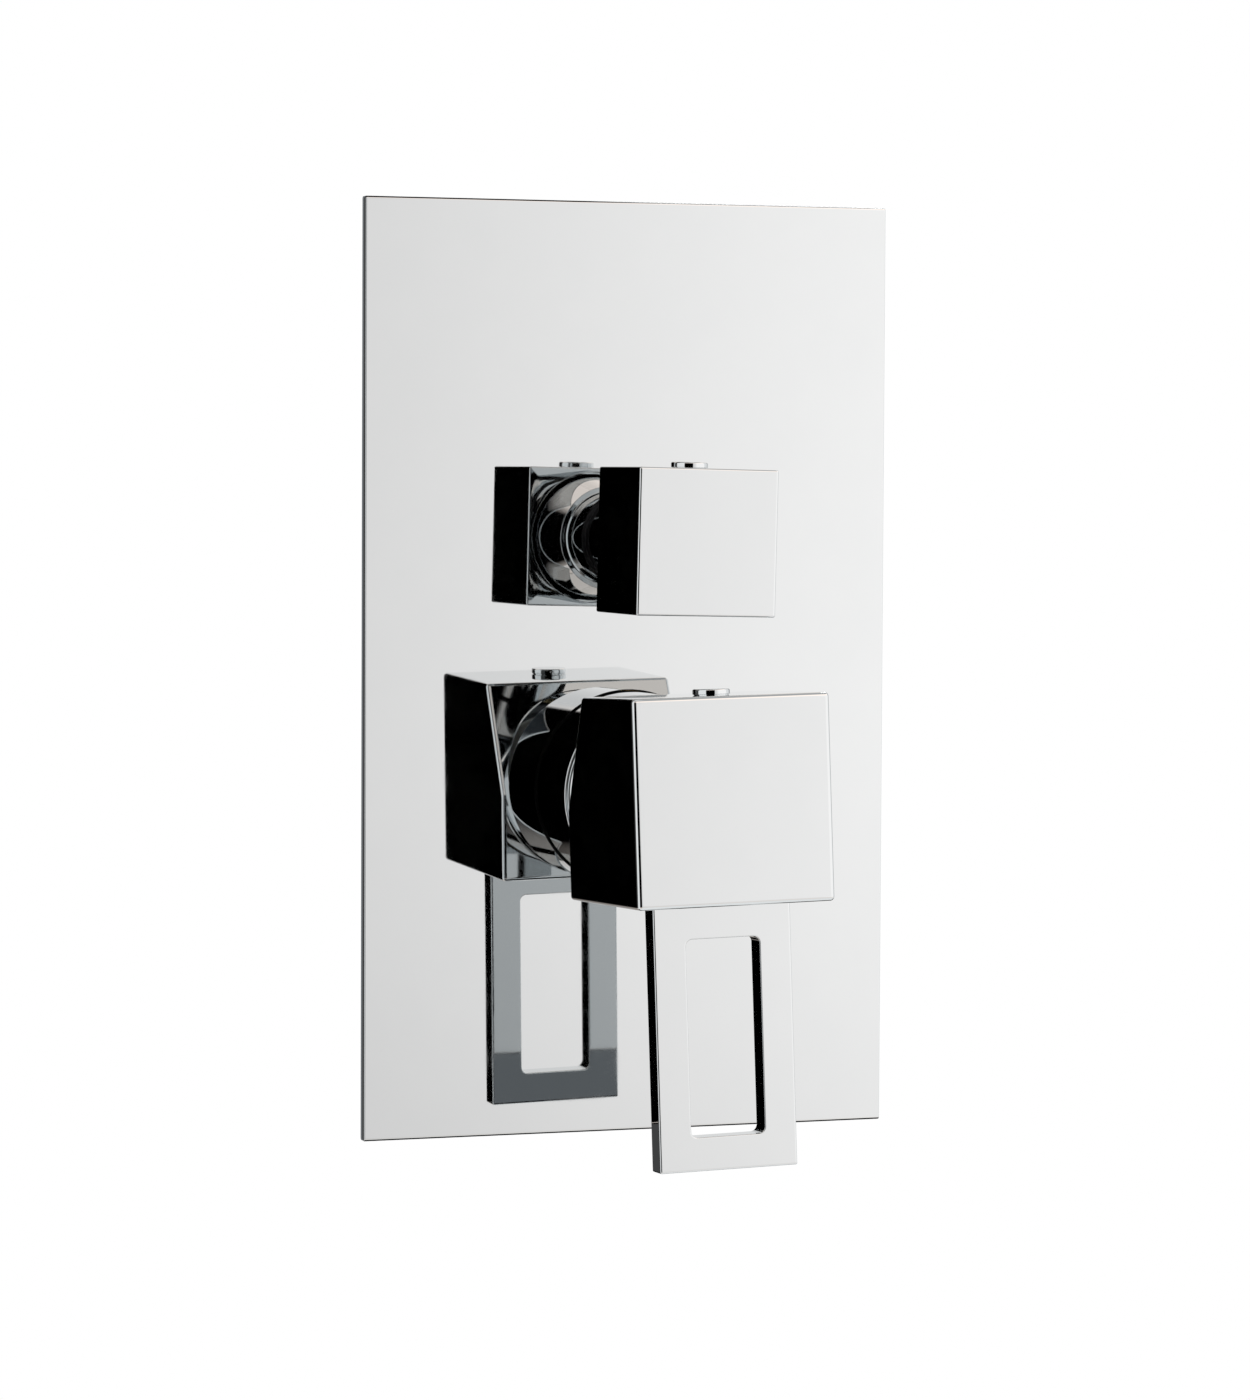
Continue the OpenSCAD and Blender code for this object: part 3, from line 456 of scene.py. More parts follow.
# Steel, moulded rubber and plastics, and lapped ceramic. The roughness follows the noise that roughBy names.
cloudyLooks = {
    "plainSteel": {
        "plain": (0.52, 0.53, 0.55), "plainRough": 0.3, "metallic": 1.0, "dark": (0.44, 0.45, 0.47),
        "light": (0.58, 0.59, 0.61), "cloud": (400, 4), "rough": (0.22, 0.38), "roughBy": "cloud", "depth": 0.00001,
    },
    "blackRubber": {
        "plain": (0.03, 0.03, 0.032), "plainRough": 0.7, "metallic": 0.0, "dark": (0.018, 0.018, 0.020),
        "light": (0.045, 0.045, 0.047), "cloud": (110, 5, 0.65), "skin": (3500, 2), "rough": (0.6, 0.82),
        "roughBy": "cloud", "depth": 0.00006,
    },
    "whitePlastic": {
        "plain": (0.84, 0.84, 0.80), "plainRough": 0.42, "metallic": 0.0, "dark": (0.74, 0.74, 0.69),
        "light": (0.84, 0.84, 0.80), "cloud": (75, 3), "skin": (4200, 2), "rough": (0.36, 0.48),
        "roughBy": "skin", "depth": 0.00003,
    },
    "greyPlastic": {
        "plain": (0.075, 0.081, 0.090), "plainRough": 0.5, "metallic": 0.0, "dark": (0.055, 0.060, 0.068),
        "light": (0.075, 0.081, 0.090), "cloud": (75, 3), "skin": (4200, 2), "rough": (0.44, 0.56),
        "roughBy": "skin", "depth": 0.00003,
    },
    "lappedCeramic": {
        "plain": (0.88, 0.87, 0.82), "plainRough": 0.14, "metallic": 0.0, "dark": (0.80, 0.79, 0.74),
        "light": (0.92, 0.91, 0.87), "cloud": (900, 4, 0.7), "rough": (0.10, 0.18), "roughBy": "cloud",
        "depth": 0.000004,
    },
}


def cloudyFinish(name):
    # the colour drifts between two in clouds, and a finer skin or the clouds themselves raise the surface
    look = cloudyLooks[name]
    finish, tree, place = newFinish(name, look["plain"], look["plainRough"], look["metallic"])
    noises = {"cloud": addNoise(tree, place, *look["cloud"])}
    noises["skin"] = addNoise(tree, place, *look["skin"]) if "skin" in look else noises["cloud"]
    return completed(finish, addBlend(tree, noises["cloud"], look["dark"], look["light"]),
                     addRange(tree, noises[look["roughBy"]], *noiseSpan, *look["rough"]),
                     addBump(tree, noises["skin"], look["depth"]))


finishes = {
    "polished_chrome": polishedChrome(),
    "cast_brass": castBrass(),
    "turned_brass": turnedBrass(),
    "steel": cloudyFinish("plainSteel"),
    "rubber": cloudyFinish("blackRubber"),
    "white_plastic": cloudyFinish("whitePlastic"),
    "grey_plastic": cloudyFinish("greyPlastic"),
    "ceramic": cloudyFinish("lappedCeramic"),
}
for row in frame["record"]["subparts"]:
    frame["nodes"][row["node"]].material_slots[0].material = finishes[row["material_slot"]]
chrome = finishes["polished_chrome"]
print("finishes made:", len(finishes))


# Face plate: a mirror-polished sheet with softly rounded front edges

sheet = {
    "width": 130.0, "height": 220.0, "back": 1.0, "front": 4.0, "edge": 0.55, "sideEdge": 0.25, "edgeDepth": 0.4,
    "inset": 0.2, "backEdge": 0.2, "backShare": 0.7, "mixerHole": 23.4, "diverterHole": 12.0,
}


def sheetShell():
    # rings of a rectangle from the front to the back; the front edge is a quarter of an ellipse, finer at the sides
    edge, front, back, deep = sheet["edge"], sheet["front"], sheet["back"], sheet["edgeDepth"]
    half = np.array([sheet["width"], sheet["height"]]) / 2
    reach = np.array([sheet["sideEdge"], edge])
    base, out = rectColumns(*half, 0, edge, 12, 4)
    base, out = base * (half - reach) / (half - edge), out * reach
    inset = base * (1 - sheet["inset"] / np.abs(base).max())
    rings = [flatRing(inset, front)]
    for t in np.linspace(np.pi / 2, 0, 9):
        rings.append(flatRing(base + math.cos(t) * out, front - deep * (1 - math.sin(t))))
    rings.append(flatRing(base + out, front - deep - nearby))
    rings.append(flatRing(base + out, back + sheet["backEdge"]))
    rings.append(flatRing(base + sheet["backShare"] * out, back))
    rings.append(flatRing(inset, back))
    return ringShell(np.stack(rings))


def roundPunch(radius, height):
    # a plain cylinder that goes right through the sheet
    points, faces = ringShell(revolve([(radius, sheet["front"] + 1), (radius, sheet["back"] - 1)]))
    return toWorld(points, height), faces


facePlate = makePiece("facePlate", [sheetShell()], lambda points: toWorld(points, 0))
for radius, height in ((sheet["mixerHole"], stand["mixerHeight"]), (sheet["diverterHole"], stand["diverterHeight"])):
    cutHole(facePlate, *roundPunch(radius, height), "plateHole")
dress(facePlate, "wall_body", "polished_chrome", plateFinish(), "face_plate")
print("face plate made")


# Mixer hub: a square block with round edges, whose back slopes forward in its upper half

hub = {
    "half": 23.5, "edge": 1.0, "front": 75.5, "back": 28.2, "slope": math.radians(24.4), "kink": -2.8,
    "softness": 0.32, "kinkGap": 0.6, "hollow": 21.1, "hollowEnd": 49.2, "mouth": 0.3, "mouthShares": (0.02, 0.97),
    "floorEdge": 0.2, "boss": 10.0, "bossBack": 40.0, "bossEdge": 0.4, "socket": 4.55, "socketRound": 0.3,
    "socketMouth": 1.04, "socketEdge": 0.2, "socketEnd": 52.7, "grubHole": 2.55, "grubAt": 46.25,
}


def hubBack(y):
    # depth and tilt of the back: flat below the kink, rising with the slope above it, a short parabola between
    over = y - hub["kink"]
    soft = hub["softness"]
    steep = math.tan(hub["slope"])
    rise = np.where(over > soft, over, np.where(over < -soft, 0, (over + soft) ** 2 / (4 * soft)))
    tilt = np.arctan(steep * np.clip((over + soft) / (2 * soft), 0, 1))
    return hub["back"] + steep * rise, tilt


def turnBetween(first, second, share):
    # the unit direction part of the way from one to the other, row by row
    angle = np.arccos(np.clip((first * second).sum(axis=1), -1, 1))[:, None]
    return (np.sin((1 - share) * angle) * first + np.sin(share * angle) * second) / np.sin(angle)


def hubShell():
    # front, round front edge, sides, round back edge, sloped back, mouth, hollow, boss and square socket; the
    # columns beside the kink follow it across the back
    reach = hub["hollow"] + hub["mouth"]
    kinkTurns = np.degrees(np.arcsin((hub["kink"] + hub["softness"] * np.linspace(-1, 1, 5)) / reach))
    even = evenTurns()
    clear = (even < kinkTurns[0] - hub["kinkGap"]) | (even > kinkTurns[-1] + hub["kinkGap"])
    side = np.sort(np.concatenate([even[clear], kinkTurns]))
    base, out, turn = squareColumns(hub["half"], hub["edge"], [side, even, -side[::-1], even], reach)
    rings = edgeRings(base, out, hub["edge"], hub["front"])
    edge = hub["edge"]
    depth, tilt = hubBack(base[:, 1])
    centre = flatRing(base, depth + edge / np.cos(tilt))
    outward = flatRing(out, 0)
    backward = np.stack([np.zeros_like(tilt), np.sin(tilt), -np.cos(tilt)], axis=1)
    rings.append(flatRing(base + edge * out, hub["front"] - edge - guard))
    rings.append(centre + edge * outward + [0, 0, guard])
    for share in np.linspace(0, 1, 9):
        rings.append(centre + edge * turnBetween(outward, backward, share))
    last = rings[-1]
    mouthDepth = hubBack(reach * np.sin(turn))[0]
    mouth = circleRing(turn, reach, mouthDepth)
    rings += [last + share * (mouth - last) for share in hub["mouthShares"]]
    for t in np.radians(np.linspace(0, 90, 5)):
        depth = mouthDepth + hub["mouth"] * (1 - math.cos(t))
        rings.append(circleRing(turn, reach - hub["mouth"] * math.sin(t), depth))
    floor, bossEdge = hub["hollowEnd"], hub["bossEdge"]
    for radius, depth in ((hub["hollow"], floor), (hub["hollow"] - hub["floorEdge"], floor),
                          (hub["boss"] + hub["floorEdge"], floor), (hub["boss"], floor),
                          (hub["boss"], hub["bossBack"] + bossEdge), (hub["boss"] - bossEdge, hub["bossBack"])):
        rings.append(circleRing(turn, radius, depth))
    bend = hub["socketRound"]
    socket = base / np.abs(base).max() * (hub["socket"] - bend) + bend * out
    rings.append(flatRing(socket * hub["socketMouth"], hub["bossBack"]))
    rings.append(flatRing(socket, hub["bossBack"] + hub["socketEdge"]))
    rings.append(flatRing(socket, hub["socketEnd"]))
    return ringShell(np.stack(rings))


def grubPunch():
    # an upright cylinder that goes up into the hub from below
    hole = revolve([(hub["grubHole"], -hub["half"] - 1), (hub["grubHole"], -hub["boss"] - 2)], 64)
    hole = rotated(hole.reshape(-1, 3), math.pi / 2, 1, 2).reshape(hole.shape) * [1, -1, 1] + [0, 0, hub["grubAt"]]
    points, faces = ringShell(hole[::-1])
    return onHandle(points), faces


mixerHub = makePiece("mixerHub", [hubShell()], onHandle)
cutHole(mixerHub, *grubPunch(), "grubHole")
dress(mixerHub, "handle", "polished_chrome", chrome, "mixer_hub")
print("hub made")


# Loop lever: a rectangular section carried round the window

loop = {
    "width": 33.0, "length": 60.0, "thick": 5.6, "front": 65.2, "edge": 0.4, "top": -23.5, "side": 7.6,
    "topBar": 7.7, "bottomBar": 7.6, "windowRound": 1.6, "windowEdge": 0.2, "faceShares": (0.02, 0.98),
    "tongueWidth": 24.0, "tongueLength": 12.0, "tongueRound": 0.4, "tongueOverlap": 1,
}


def loopShell():
    # from the front's outer edge over the front, through the window and back outside. An edge of radius r is
    # inset r (1 - cos t) and r (1 - sin t) deep, and the face's rings are shares of the way to the window.
    windowHigh = loop["length"] - loop["topBar"] - loop["bottomBar"]
    windowMiddle = loop["top"] - loop["topBar"] - windowHigh / 2
    front, back = loop["front"], loop["front"] - loop["thick"]
    edge, winEdge, winRound = loop["edge"], loop["windowEdge"], loop["windowRound"]
    base, out = rectColumns(loop["width"] / 2, loop["length"] / 2, loop["top"] - loop["length"] / 2, edge)
    winBase, winOut = rectColumns(loop["width"] / 2 - loop["side"], windowHigh / 2, windowMiddle, winRound)
    inner = winBase + (winRound + winEdge) * winOut
    faceRings = [base + share * (inner - base) for share in loop["faceShares"]]
    rings = []
    for t in np.linspace(0, np.pi / 2, 7):
        rings.append(flatRing(base + edge * math.cos(t) * out, front - edge * (1 - math.sin(t))))
    rings += [flatRing(ring, front) for ring in faceRings]
    for t in np.linspace(np.pi / 2, 0, 5):
        grow = winRound + winEdge * (1 - math.cos(t))
        rings.append(flatRing(winBase + grow * winOut, front - winEdge * (1 - math.sin(t))))
    rings.append(flatRing(winBase + winRound * winOut, front - winEdge - nearby))
    rings.append(flatRing(winBase + winRound * winOut, back + winEdge + nearby))
    for t in np.linspace(0, np.pi / 2, 5):
        grow = winRound + winEdge * (1 - math.cos(t))
        rings.append(flatRing(winBase + grow * winOut, back + winEdge * (1 - math.sin(t))))
    rings += [flatRing(ring, back) for ring in faceRings[::-1]]
    for t in np.linspace(np.pi / 2, 0, 7):
        rings.append(flatRing(base + edge * math.cos(t) * out, back + edge * (1 - math.sin(t))))
    rings.append(flatRing(base + edge * out, back + edge + nearby))
    rings.append(flatRing(base + edge * out, front - edge - nearby))
    points, faces = ringShell(np.stack(rings), loop=True)
    return points, [face[::-1] for face in faces]


def tongueShell():
    # the flat tongue that goes up into the hub
    half = loop["thick"] / 2 - loop["edge"]
    middle = loop["front"] - loop["thick"] / 2
    bend, end = loop["tongueRound"], loop["top"] + loop["tongueLength"]
    base, out = rectColumns(loop["tongueWidth"] / 2, half, 0, bend, 2, 3)
    rings = []
    for y, inset in ((end, bend), (end - bend, 0), (loop["top"] - loop["tongueOverlap"], 0)):
        xy = base + (bend - inset) * out
        rings.append(np.stack([xy[:, 0], np.full(len(xy), y), middle - xy[:, 1]], axis=1))
    return ringShell(np.stack(rings))


leverLoop = makePiece("leverLoop", [loopShell(), tongueShell()], onHandle)
dress(leverLoop, "handle", "polished_chrome", chrome, "lever_loop")
print("loop made")


# Diverter knob: a square block with round edges, hollow at the back round the sleeve's rim

knob = {
    "half": 16.75, "edge": 0.5, "backEdge": 0.4, "front": 57.5, "back": 29.5, "recess": 15.7, "recessEnd": 34.5,
    "recessEdge": 0.25, "hollow": 12.0, "hollowEnd": 39.5, "boss": 7.5, "bore": 4.12, "boreEnd": 47.3, "capSet": 13.5,
}


def knobShell():
    # front, round front edge, sides, round back edge, then the stepped hollow with its lip, boss and bore
    recess, lip, edge, small = knob["recess"], knob["recessEdge"], knob["edge"], knob["backEdge"]
    base, out, turn = squareColumns(knob["half"], edge, [evenTurns()] * 4, recess + lip)
    rings = edgeRings(base, out, edge, knob["front"])
    side = base + edge * out
    rings.append(flatRing(side, knob["front"] - edge - guard))
    rings.append(flatRing(side, knob["back"] + small + guard))
    for t in np.linspace(0, np.pi / 2, 7):
        rings.append(flatRing(side - small * (1 - math.cos(t)) * out, knob["back"] + small * (1 - math.sin(t))))
    last = rings[-1]
    mouth = circleRing(turn, recess + lip, knob["back"])
    rings.append(last + 0.5 * (mouth - last))
    for t in np.linspace(0, np.pi / 2, 6):
        rings.append(circleRing(turn, recess + lip * (1 - math.sin(t)), knob["back"] + lip * (1 - math.cos(t))))
    for radius, z in (("recess", "recessEnd"), ("hollow", "recessEnd"), ("hollow", "hollowEnd"),
                      ("boss", "hollowEnd"), ("boss", "recessEnd"), ("bore", "recessEnd"), ("bore", "boreEnd")):
        rings.append(circleRing(turn, knob[radius], knob[z]))
    return ringShell(np.stack(rings))


diverterKnob = makePiece("diverterKnob", [knobShell()], onKnob)
dress(diverterKnob, "diverter", "polished_chrome", chrome, "diverter_knob")
print("knob made")


# Caps: a disc with a softened top edge over a thin dark gap

cap = {
    "radius": 4.25, "height": 1.4, "edge": 0.35, "gap": 0.14, "gapDepth": 0.3, "chamfer": 0.1, "middle": 0.05,
    "plug": 3.6, "plugDepth": 3.0,
}


def capOn(top, z):
    # a profile from the middle of the top to the plug's end, carried round an upright axis
    radius, height, edge, gap = cap["radius"], cap["height"], cap["edge"], cap["gap"]
    neck, chamfer = radius - cap["gapDepth"], cap["chamfer"]
    profile = [(cap["middle"], height), (radius - edge - nearby, height)]
    profile += arcPoints((radius - edge, height - edge), edge, 90, 0, 6)
    profile += [(radius, gap + chamfer), (radius - chamfer, gap), (neck, gap), (neck, 0), (cap["plug"], 0),
                (cap["plug"], -cap["plugDepth"])]
    points, faces = ringShell(revolve(profile, 96))
    return np.stack([points[:, 0], points[:, 2] + top, z - points[:, 1]], axis=1), faces


hubCap = makePiece("hubCap", [capOn(hub["half"], loop["front"] - loop["thick"] / 2)], onHandle)
dress(hubCap, "handle", "polished_chrome", chrome, "hub_cap")
knobCap = makePiece("knobCap", [capOn(knob["half"], knob["front"] - knob["capSet"])], onKnob)
dress(knobCap, "diverter", "polished_chrome", chrome, "knob_cap")
print("caps made")


# Sleeves: round profiles turned about the axes

mixerTube = {
    "radius": 23.0, "wall": 1.6, "back": -2.0, "front": 25.0, "edge": 0.3, "land": 0.7, "shoulder": 5.5,
    "shoulderStart": 20, "thick": 1.8, "flat": 0.1, "mouthEdge": 0.3, "mouthStart": 105,
}


def mixerSleeveProfile():
    # straight outside, a small round edge, a narrow land, then a round shoulder that rises to the opening
    outer, edge, front = mixerTube["radius"], mixerTube["edge"], mixerTube["front"]
    bend, start, small = mixerTube["shoulder"], mixerTube["shoulderStart"], mixerTube["mouthEdge"]
    middle = (outer - mixerTube["land"] - bend * math.cos(math.radians(start)),
              front - bend * math.sin(math.radians(start)))
    inner = outer - mixerTube["wall"]
    mouth = middle[0] - mixerTube["flat"]
    profile = [(outer, mixerTube["back"]), (outer, front - edge - nearby)]
    profile += arcPoints((outer - edge, front - edge), edge, 0, 90, 6)
    profile += arcPoints(middle, bend, start, 90, 24)
    profile += arcPoints((mouth + nearby, middle[1] + bend - small), small, mixerTube["mouthStart"], 180, 4)
    profile += arcPoints(middle, bend - mixerTube["thick"], 90, 0, 10)
    return profile + [(inner, middle[1]), (inner, mixerTube["back"])]


def closedTube(profile):
    # a closed profile carried round the axis
    points, faces = ringShell(revolve(profile, 192), loop=True)
    return points, [face[::-1] for face in faces]


mixerSleeve = makePiece("mixerSleeve", [closedTube(mixerSleeveProfile())], onMixer)
dress(mixerSleeve, "wall_body", "polished_chrome", chrome, "mixer_sleeve")

bell = {
    "radius": 11.0, "wall": 1.2, "back": 0.5, "flare": 17.4, "flareEnd": 30.9, "front": 31.0, "rim": 15.3,
    "step": 80, "cone": 12.6, "bend": 0.35, "shoulder": 0.12, "rimBend": 0.3, "rimEdge": 0.1, "tubeEnd": 0.2,
    "innerShift": 0.5, "bendSteps": 12, "straightSteps": 4,
}


def bellProfile():
    # A straight tube, a steep step out of it, then a slim cone to the rim. The slope from the axis is given along
    # the length of the curve, and its cosine and sine are summed to depth and radius. The wall inside follows the
    # curve, but for the rim's bend.
    step, cone = math.radians(bell["step"]), math.radians(bell["cone"])
    run, grow = bell["flareEnd"] - bell["flare"], bell["rim"] - bell["radius"]
    bends = [(bell["bend"], 0, step), (bell["shoulder"], step, cone), (bell["rimBend"], cone, 0)]
    fixedRun = sum(r * abs(math.sin(b) - math.sin(a)) for r, a, b in bends)
    fixedGrow = sum(r * abs(math.cos(a) - math.cos(b)) for r, a, b in bends)
    lengths = np.linalg.solve([[math.cos(step), math.cos(cone)], [math.sin(step), math.sin(cone)]],
                              [run - fixedRun, grow - fixedGrow])
    steps, parts = bell["bendSteps"], bell["straightSteps"]
    angles, arcs = [], []
    for (radius, first, last), length in zip(bends, (*lengths, 0)):
        turns = np.linspace(first, last, steps + 1)
        angles.append((turns[1:] + turns[:-1]) / 2)
        arcs.append(np.full(steps, radius * abs(last - first) / steps))
        if length > 0:
            angles.append(np.full(parts, last))
            arcs.append(np.full(parts, length / parts))
    angles, arcs = np.concatenate(angles), np.concatenate(arcs)
    alongAxis = np.cumsum([bell["flare"], *(arcs * np.cos(angles))])
    fromAxis = np.cumsum([bell["radius"], *(arcs * np.sin(angles))])
    curve = list(zip(fromAxis.tolist(), alongAxis.tolist()))
    wall, rimEdge = bell["wall"], bell["rimEdge"]
    profile = [(bell["radius"], bell["back"]), (bell["radius"], bell["flare"] - bell["tubeEnd"])]
    profile += curve + arcPoints((bell["rim"] - rimEdge, bell["front"] - rimEdge), rimEdge, 0, 90, 4)[1:]
    profile += [(bell["rim"] - wall, bell["front"])]
    shift = bell["innerShift"] * wall
    profile += [(r - wall, min(z + shift, bell["flareEnd"])) for r, z in curve[-steps - 1::-1]]
    return profile + [(bell["radius"] - wall, bell["back"])]


diverterSleeve = makePiece("diverterSleeve", [closedTube(bellProfile())], onDiverter)
dress(diverterSleeve, "wall_body", "polished_chrome", chrome, "diverter_sleeve")
print("sleeves made")


# Threads: a ridge of triangular section winds along the inside of each of the four ports

def threadShell(side):
    # Radius is root - depth * ridge(x / pitch - a / 360), where ridge rises and falls once a turn with a small flat
    # at the crest, and dies out at both ends. The outer side lies in the body.
    low, high = ports["end"] - ports["threadLength"] + ports["runIn"], ports["end"] - ports["runIn"]
    root = ports["wall"] + ports["proud"]
    steep, sunk = ports["ridge"]
    x = np.linspace(low, high, ports["rows"])[:, None]
    angle = np.linspace(0, 2 * np.pi, ports["columns"] + 1)[None, :-1]
    wave = 1 - np.abs(2 * ((x / ports["pitch"] - side * angle / (2 * np.pi)) % 1) - 1)
    ridge = np.clip(wave * steep - sunk, 0, 1)
    ends = np.clip(np.minimum(x - x[0, 0], x[-1, 0] - x) / ports["fadeLength"], 0, 1)
    radius = root - (root - ports["crest"]) * ridge * ends
    outer = np.full((2, angle.shape[1]), ports["wall"] + ports["buried"])
    radius = np.concatenate([radius, outer])
    along = side * np.concatenate([x + 0 * angle, x[-1] + 0 * angle, x[0] + 0 * angle])
    rings = np.stack([along, radius * np.cos(angle), ports["depth"] + radius * np.sin(angle)], axis=-1)
    points, faces = ringShell(rings, loop=True)
    return points, faces if side > 0 else [face[::-1] for face in faces]


def threadPair(height):
    # the threads of the two ports at one height
    shells = [threadShell(side) for side in (-1, 1)]
    return [(points + [0, height, 0], faces) for points, faces in shells]


portThreads = makePiece("portThreads", threadPair(stand["mixerHeight"]) + threadPair(stand["diverterHeight"]),
                        lambda points: toWorld(points, 0), 60)
dress(portThreads, "wall_body", "cast_brass", finishes["cast_brass"])
print("threads made")


# Camera: the photograph's place, direction and field of view

view = {
    "place": (-0.37606, -1.06639, 0.04718), "yaw": -19.45, "pitch": -2.78, "roll": -0.27, "focal": 4762.4,
    "imageHeight": 1400, "sensor": 36.0, "nearest": 0.01,
}
camera = bpy.data.objects.new("camera", bpy.data.cameras.new("camera"))
camera.data.sensor_width = view["sensor"]
camera.data.lens = view["focal"] * view["sensor"] / view["imageHeight"]
camera.matrix_world = (Matrix.Translation(view["place"])
                       @ Matrix.Rotation(math.radians(view["yaw"]), 4, "Z")
                       @ Matrix.Rotation(math.radians(90 + view["pitch"]), 4, "X")
                       @ Matrix.Rotation(math.radians(-view["roll"]), 4, "Z"))
camera.data.clip_start = view["nearest"]
bpy.context.scene.collection.objects.link(camera)
bpy.context.scene.camera = camera


# Studio: white surroundings, a light card in front at the right, a bright one at the left, and a dark one between
# them where the camera stands, with warmer cards over and under it. A grey card goes all round above, with a dark
# patch in front. Two dim cards hang round the back, and two black shelves lie just under and over the plate.
# Azimuth 0 is straight in front, and positive to the right. Angles are in degrees and distances in metres. Softness
# is a share of the card's size. So are the first two numbers of across and upwards, between which the glow grows
# from the third number to 1, and those of warmBelow and warmAbove, between which the warm colour comes in.

cards = {
    "lightCard": {"azimuth": (2, 84), "elevation": (-50, 62), "distance": 1.3, "color": (1.03, 1.0, 0.985),
                  "strength": 1.3, "across": (0.077, 0.333, 0.73), "upwards": (0.1, 0.43, 0.55), "soft": 0.02,
                  "warm": (1.28, 1.12, 1.02), "warmBelow": (0.30, 0.22), "warmAbove": (0.62, 0.70)},
    "darkCard": {"azimuth": (-51, 3), "elevation": (-30, 36), "distance": 1.25, "color": (1, 1, 1),
                 "strength": 0.0, "soft": 0.03, "softTop": 0.15},
    "overCard": {"azimuth": (-54, 6), "elevation": (17, 57), "distance": 1.28, "color": (1.30, 1.13, 1.03),
                 "strength": 1.0, "soft": 0.06},
    "belowCard": {"azimuth": (-52, 4), "elevation": (-60, -22), "distance": 0.62, "color": (1.15, 1.0, 0.91),
                  "strength": 0.8, "soft": 0.06, "softTop": 0.24},
    "leftCard": {"azimuth": (-114, -49), "elevation": (-50, 62), "distance": 1.35, "color": (1.0, 1.0, 1.0),
                 "strength": 1.08, "soft": 0.04},
    "roofCard": {"azimuth": (-178, 178), "elevation": (50, 74), "distance": 1.2, "color": (1.0, 1.0, 1.0),
                 "strength": 0.55, "soft": 0.08},
    "upperDark": {"azimuth": (-64, 0), "elevation": (56, 80), "distance": 1.17, "color": (0.9, 1.0, 1.08),
                  "strength": 0.06, "soft": 0.12},
    "cornerCard": {"azimuth": (-172, -100), "elevation": (-44, 50), "distance": 1.25, "color": (1.0, 1.0, 1.0),
                   "strength": 0.07, "soft": 0.06},
    "backCard": {"azimuth": (112, 248), "elevation": (-40, 45), "distance": 1.3, "color": (0.95, 1.0, 1.05),
                 "strength": 0.2, "soft": 0.06},
}
shelves = {
    "lowShelf": {"x": (-0.11, 0.22), "y": (-0.055, 0.09), "z": -0.147, "color": (1.0, 1.0, 1.0), "strength": 0.0,
                 "soft": 0.03},
    "topShelf": {"x": (-0.16, 0.02), "y": (-0.045, 0.09), "z": 0.135, "color": (1.0, 1.0, 1.0), "strength": 0.0,
                 "soft": 0.12},
}


def overlay(tree, factor, under, over, output):
    # the output shows one shader, and the other over it where the factor is 1
    mixed = tree.nodes.new("ShaderNodeMixShader")
    tree.links.new(factor, mixed.inputs["Fac"])
    tree.links.new(under.outputs[0], mixed.inputs[1])
    tree.links.new(over.outputs[0], mixed.inputs[2])
    tree.links.new(mixed.outputs[0], output.inputs["Surface"])


def cardMaterial(name, facts):
    # A glow that fades out towards the card's edges, and more softly at the top where that is given. It may also
    # grow across the card and upwards, and turn warmer below and above. All of it follows the card's UV map.
    material = bpy.data.materials.new(name)
    material.use_nodes = True
    tree = material.node_tree
    tree.nodes.clear()
    split = addSplit(tree, tree.nodes.new("ShaderNodeUVMap").outputs["UV"])
    factor = None
    soft = facts["soft"]
    for axis, first, last in (("X", soft, soft), ("Y", soft, facts.get("softTop", soft))):
        for low, high in ((0, first), (1, 1 - last)):
            fade = addRange(tree, split[axis], low, high, 0, 1)
            factor = fade if factor is None else addMath(tree, "MULTIPLY", factor, fade)
    glow = tree.nodes.new("ShaderNodeEmission")
    glow.inputs["Color"].default_value = (*facts["color"], 1)
    glow.inputs["Strength"].default_value = facts["strength"]
    if "across" in facts:
        (left, right, leastAcross), (bottom, top, leastUpwards) = facts["across"], facts["upwards"]
        across = addRange(tree, split["X"], left, right, leastAcross, 1, "SMOOTHSTEP")
        upwards = addRange(tree, split["Y"], bottom, top, leastUpwards, 1, "SMOOTHSTEP")
        level = addRange(tree, addMath(tree, "MULTIPLY", across, upwards), 0, 1, 0, facts["strength"])
        tree.links.new(level, glow.inputs["Strength"])
        below, above = (addRange(tree, split["Y"], *facts[reach], 0, 1) for reach in ("warmBelow", "warmAbove"))
        ends = addMath(tree, "ADD", below, above)
        tree.links.new(addBlend(tree, ends, facts["color"], facts["warm"]), glow.inputs["Color"])
    output = tree.nodes.new("ShaderNodeOutputMaterial")
    overlay(tree, factor, tree.nodes.new("ShaderNodeBsdfTransparent"), glow, output)
    return material


def curvedGrid(facts):
    # a patch of a sphere: (R sin a cos e, -R cos a cos e, R sin e) for azimuth a and elevation e
    azimuth = np.radians(np.linspace(*facts["azimuth"], 33))[None, :]
    elevation = np.radians(np.linspace(*facts["elevation"], 17))[:, None]
    reach = facts["distance"]
    x = reach * np.sin(azimuth) * np.cos(elevation)
    y = -reach * np.cos(azimuth) * np.cos(elevation)
    z = reach * np.sin(elevation) + 0 * azimuth
    return np.stack([x, y, z], axis=-1)


def flatGrid(facts):
    # a level rectangle: (x, y, height)
    x, y = np.meshgrid(facts["x"], facts["y"])
    return np.stack([x, y, np.full(x.shape, facts["z"])], axis=-1)


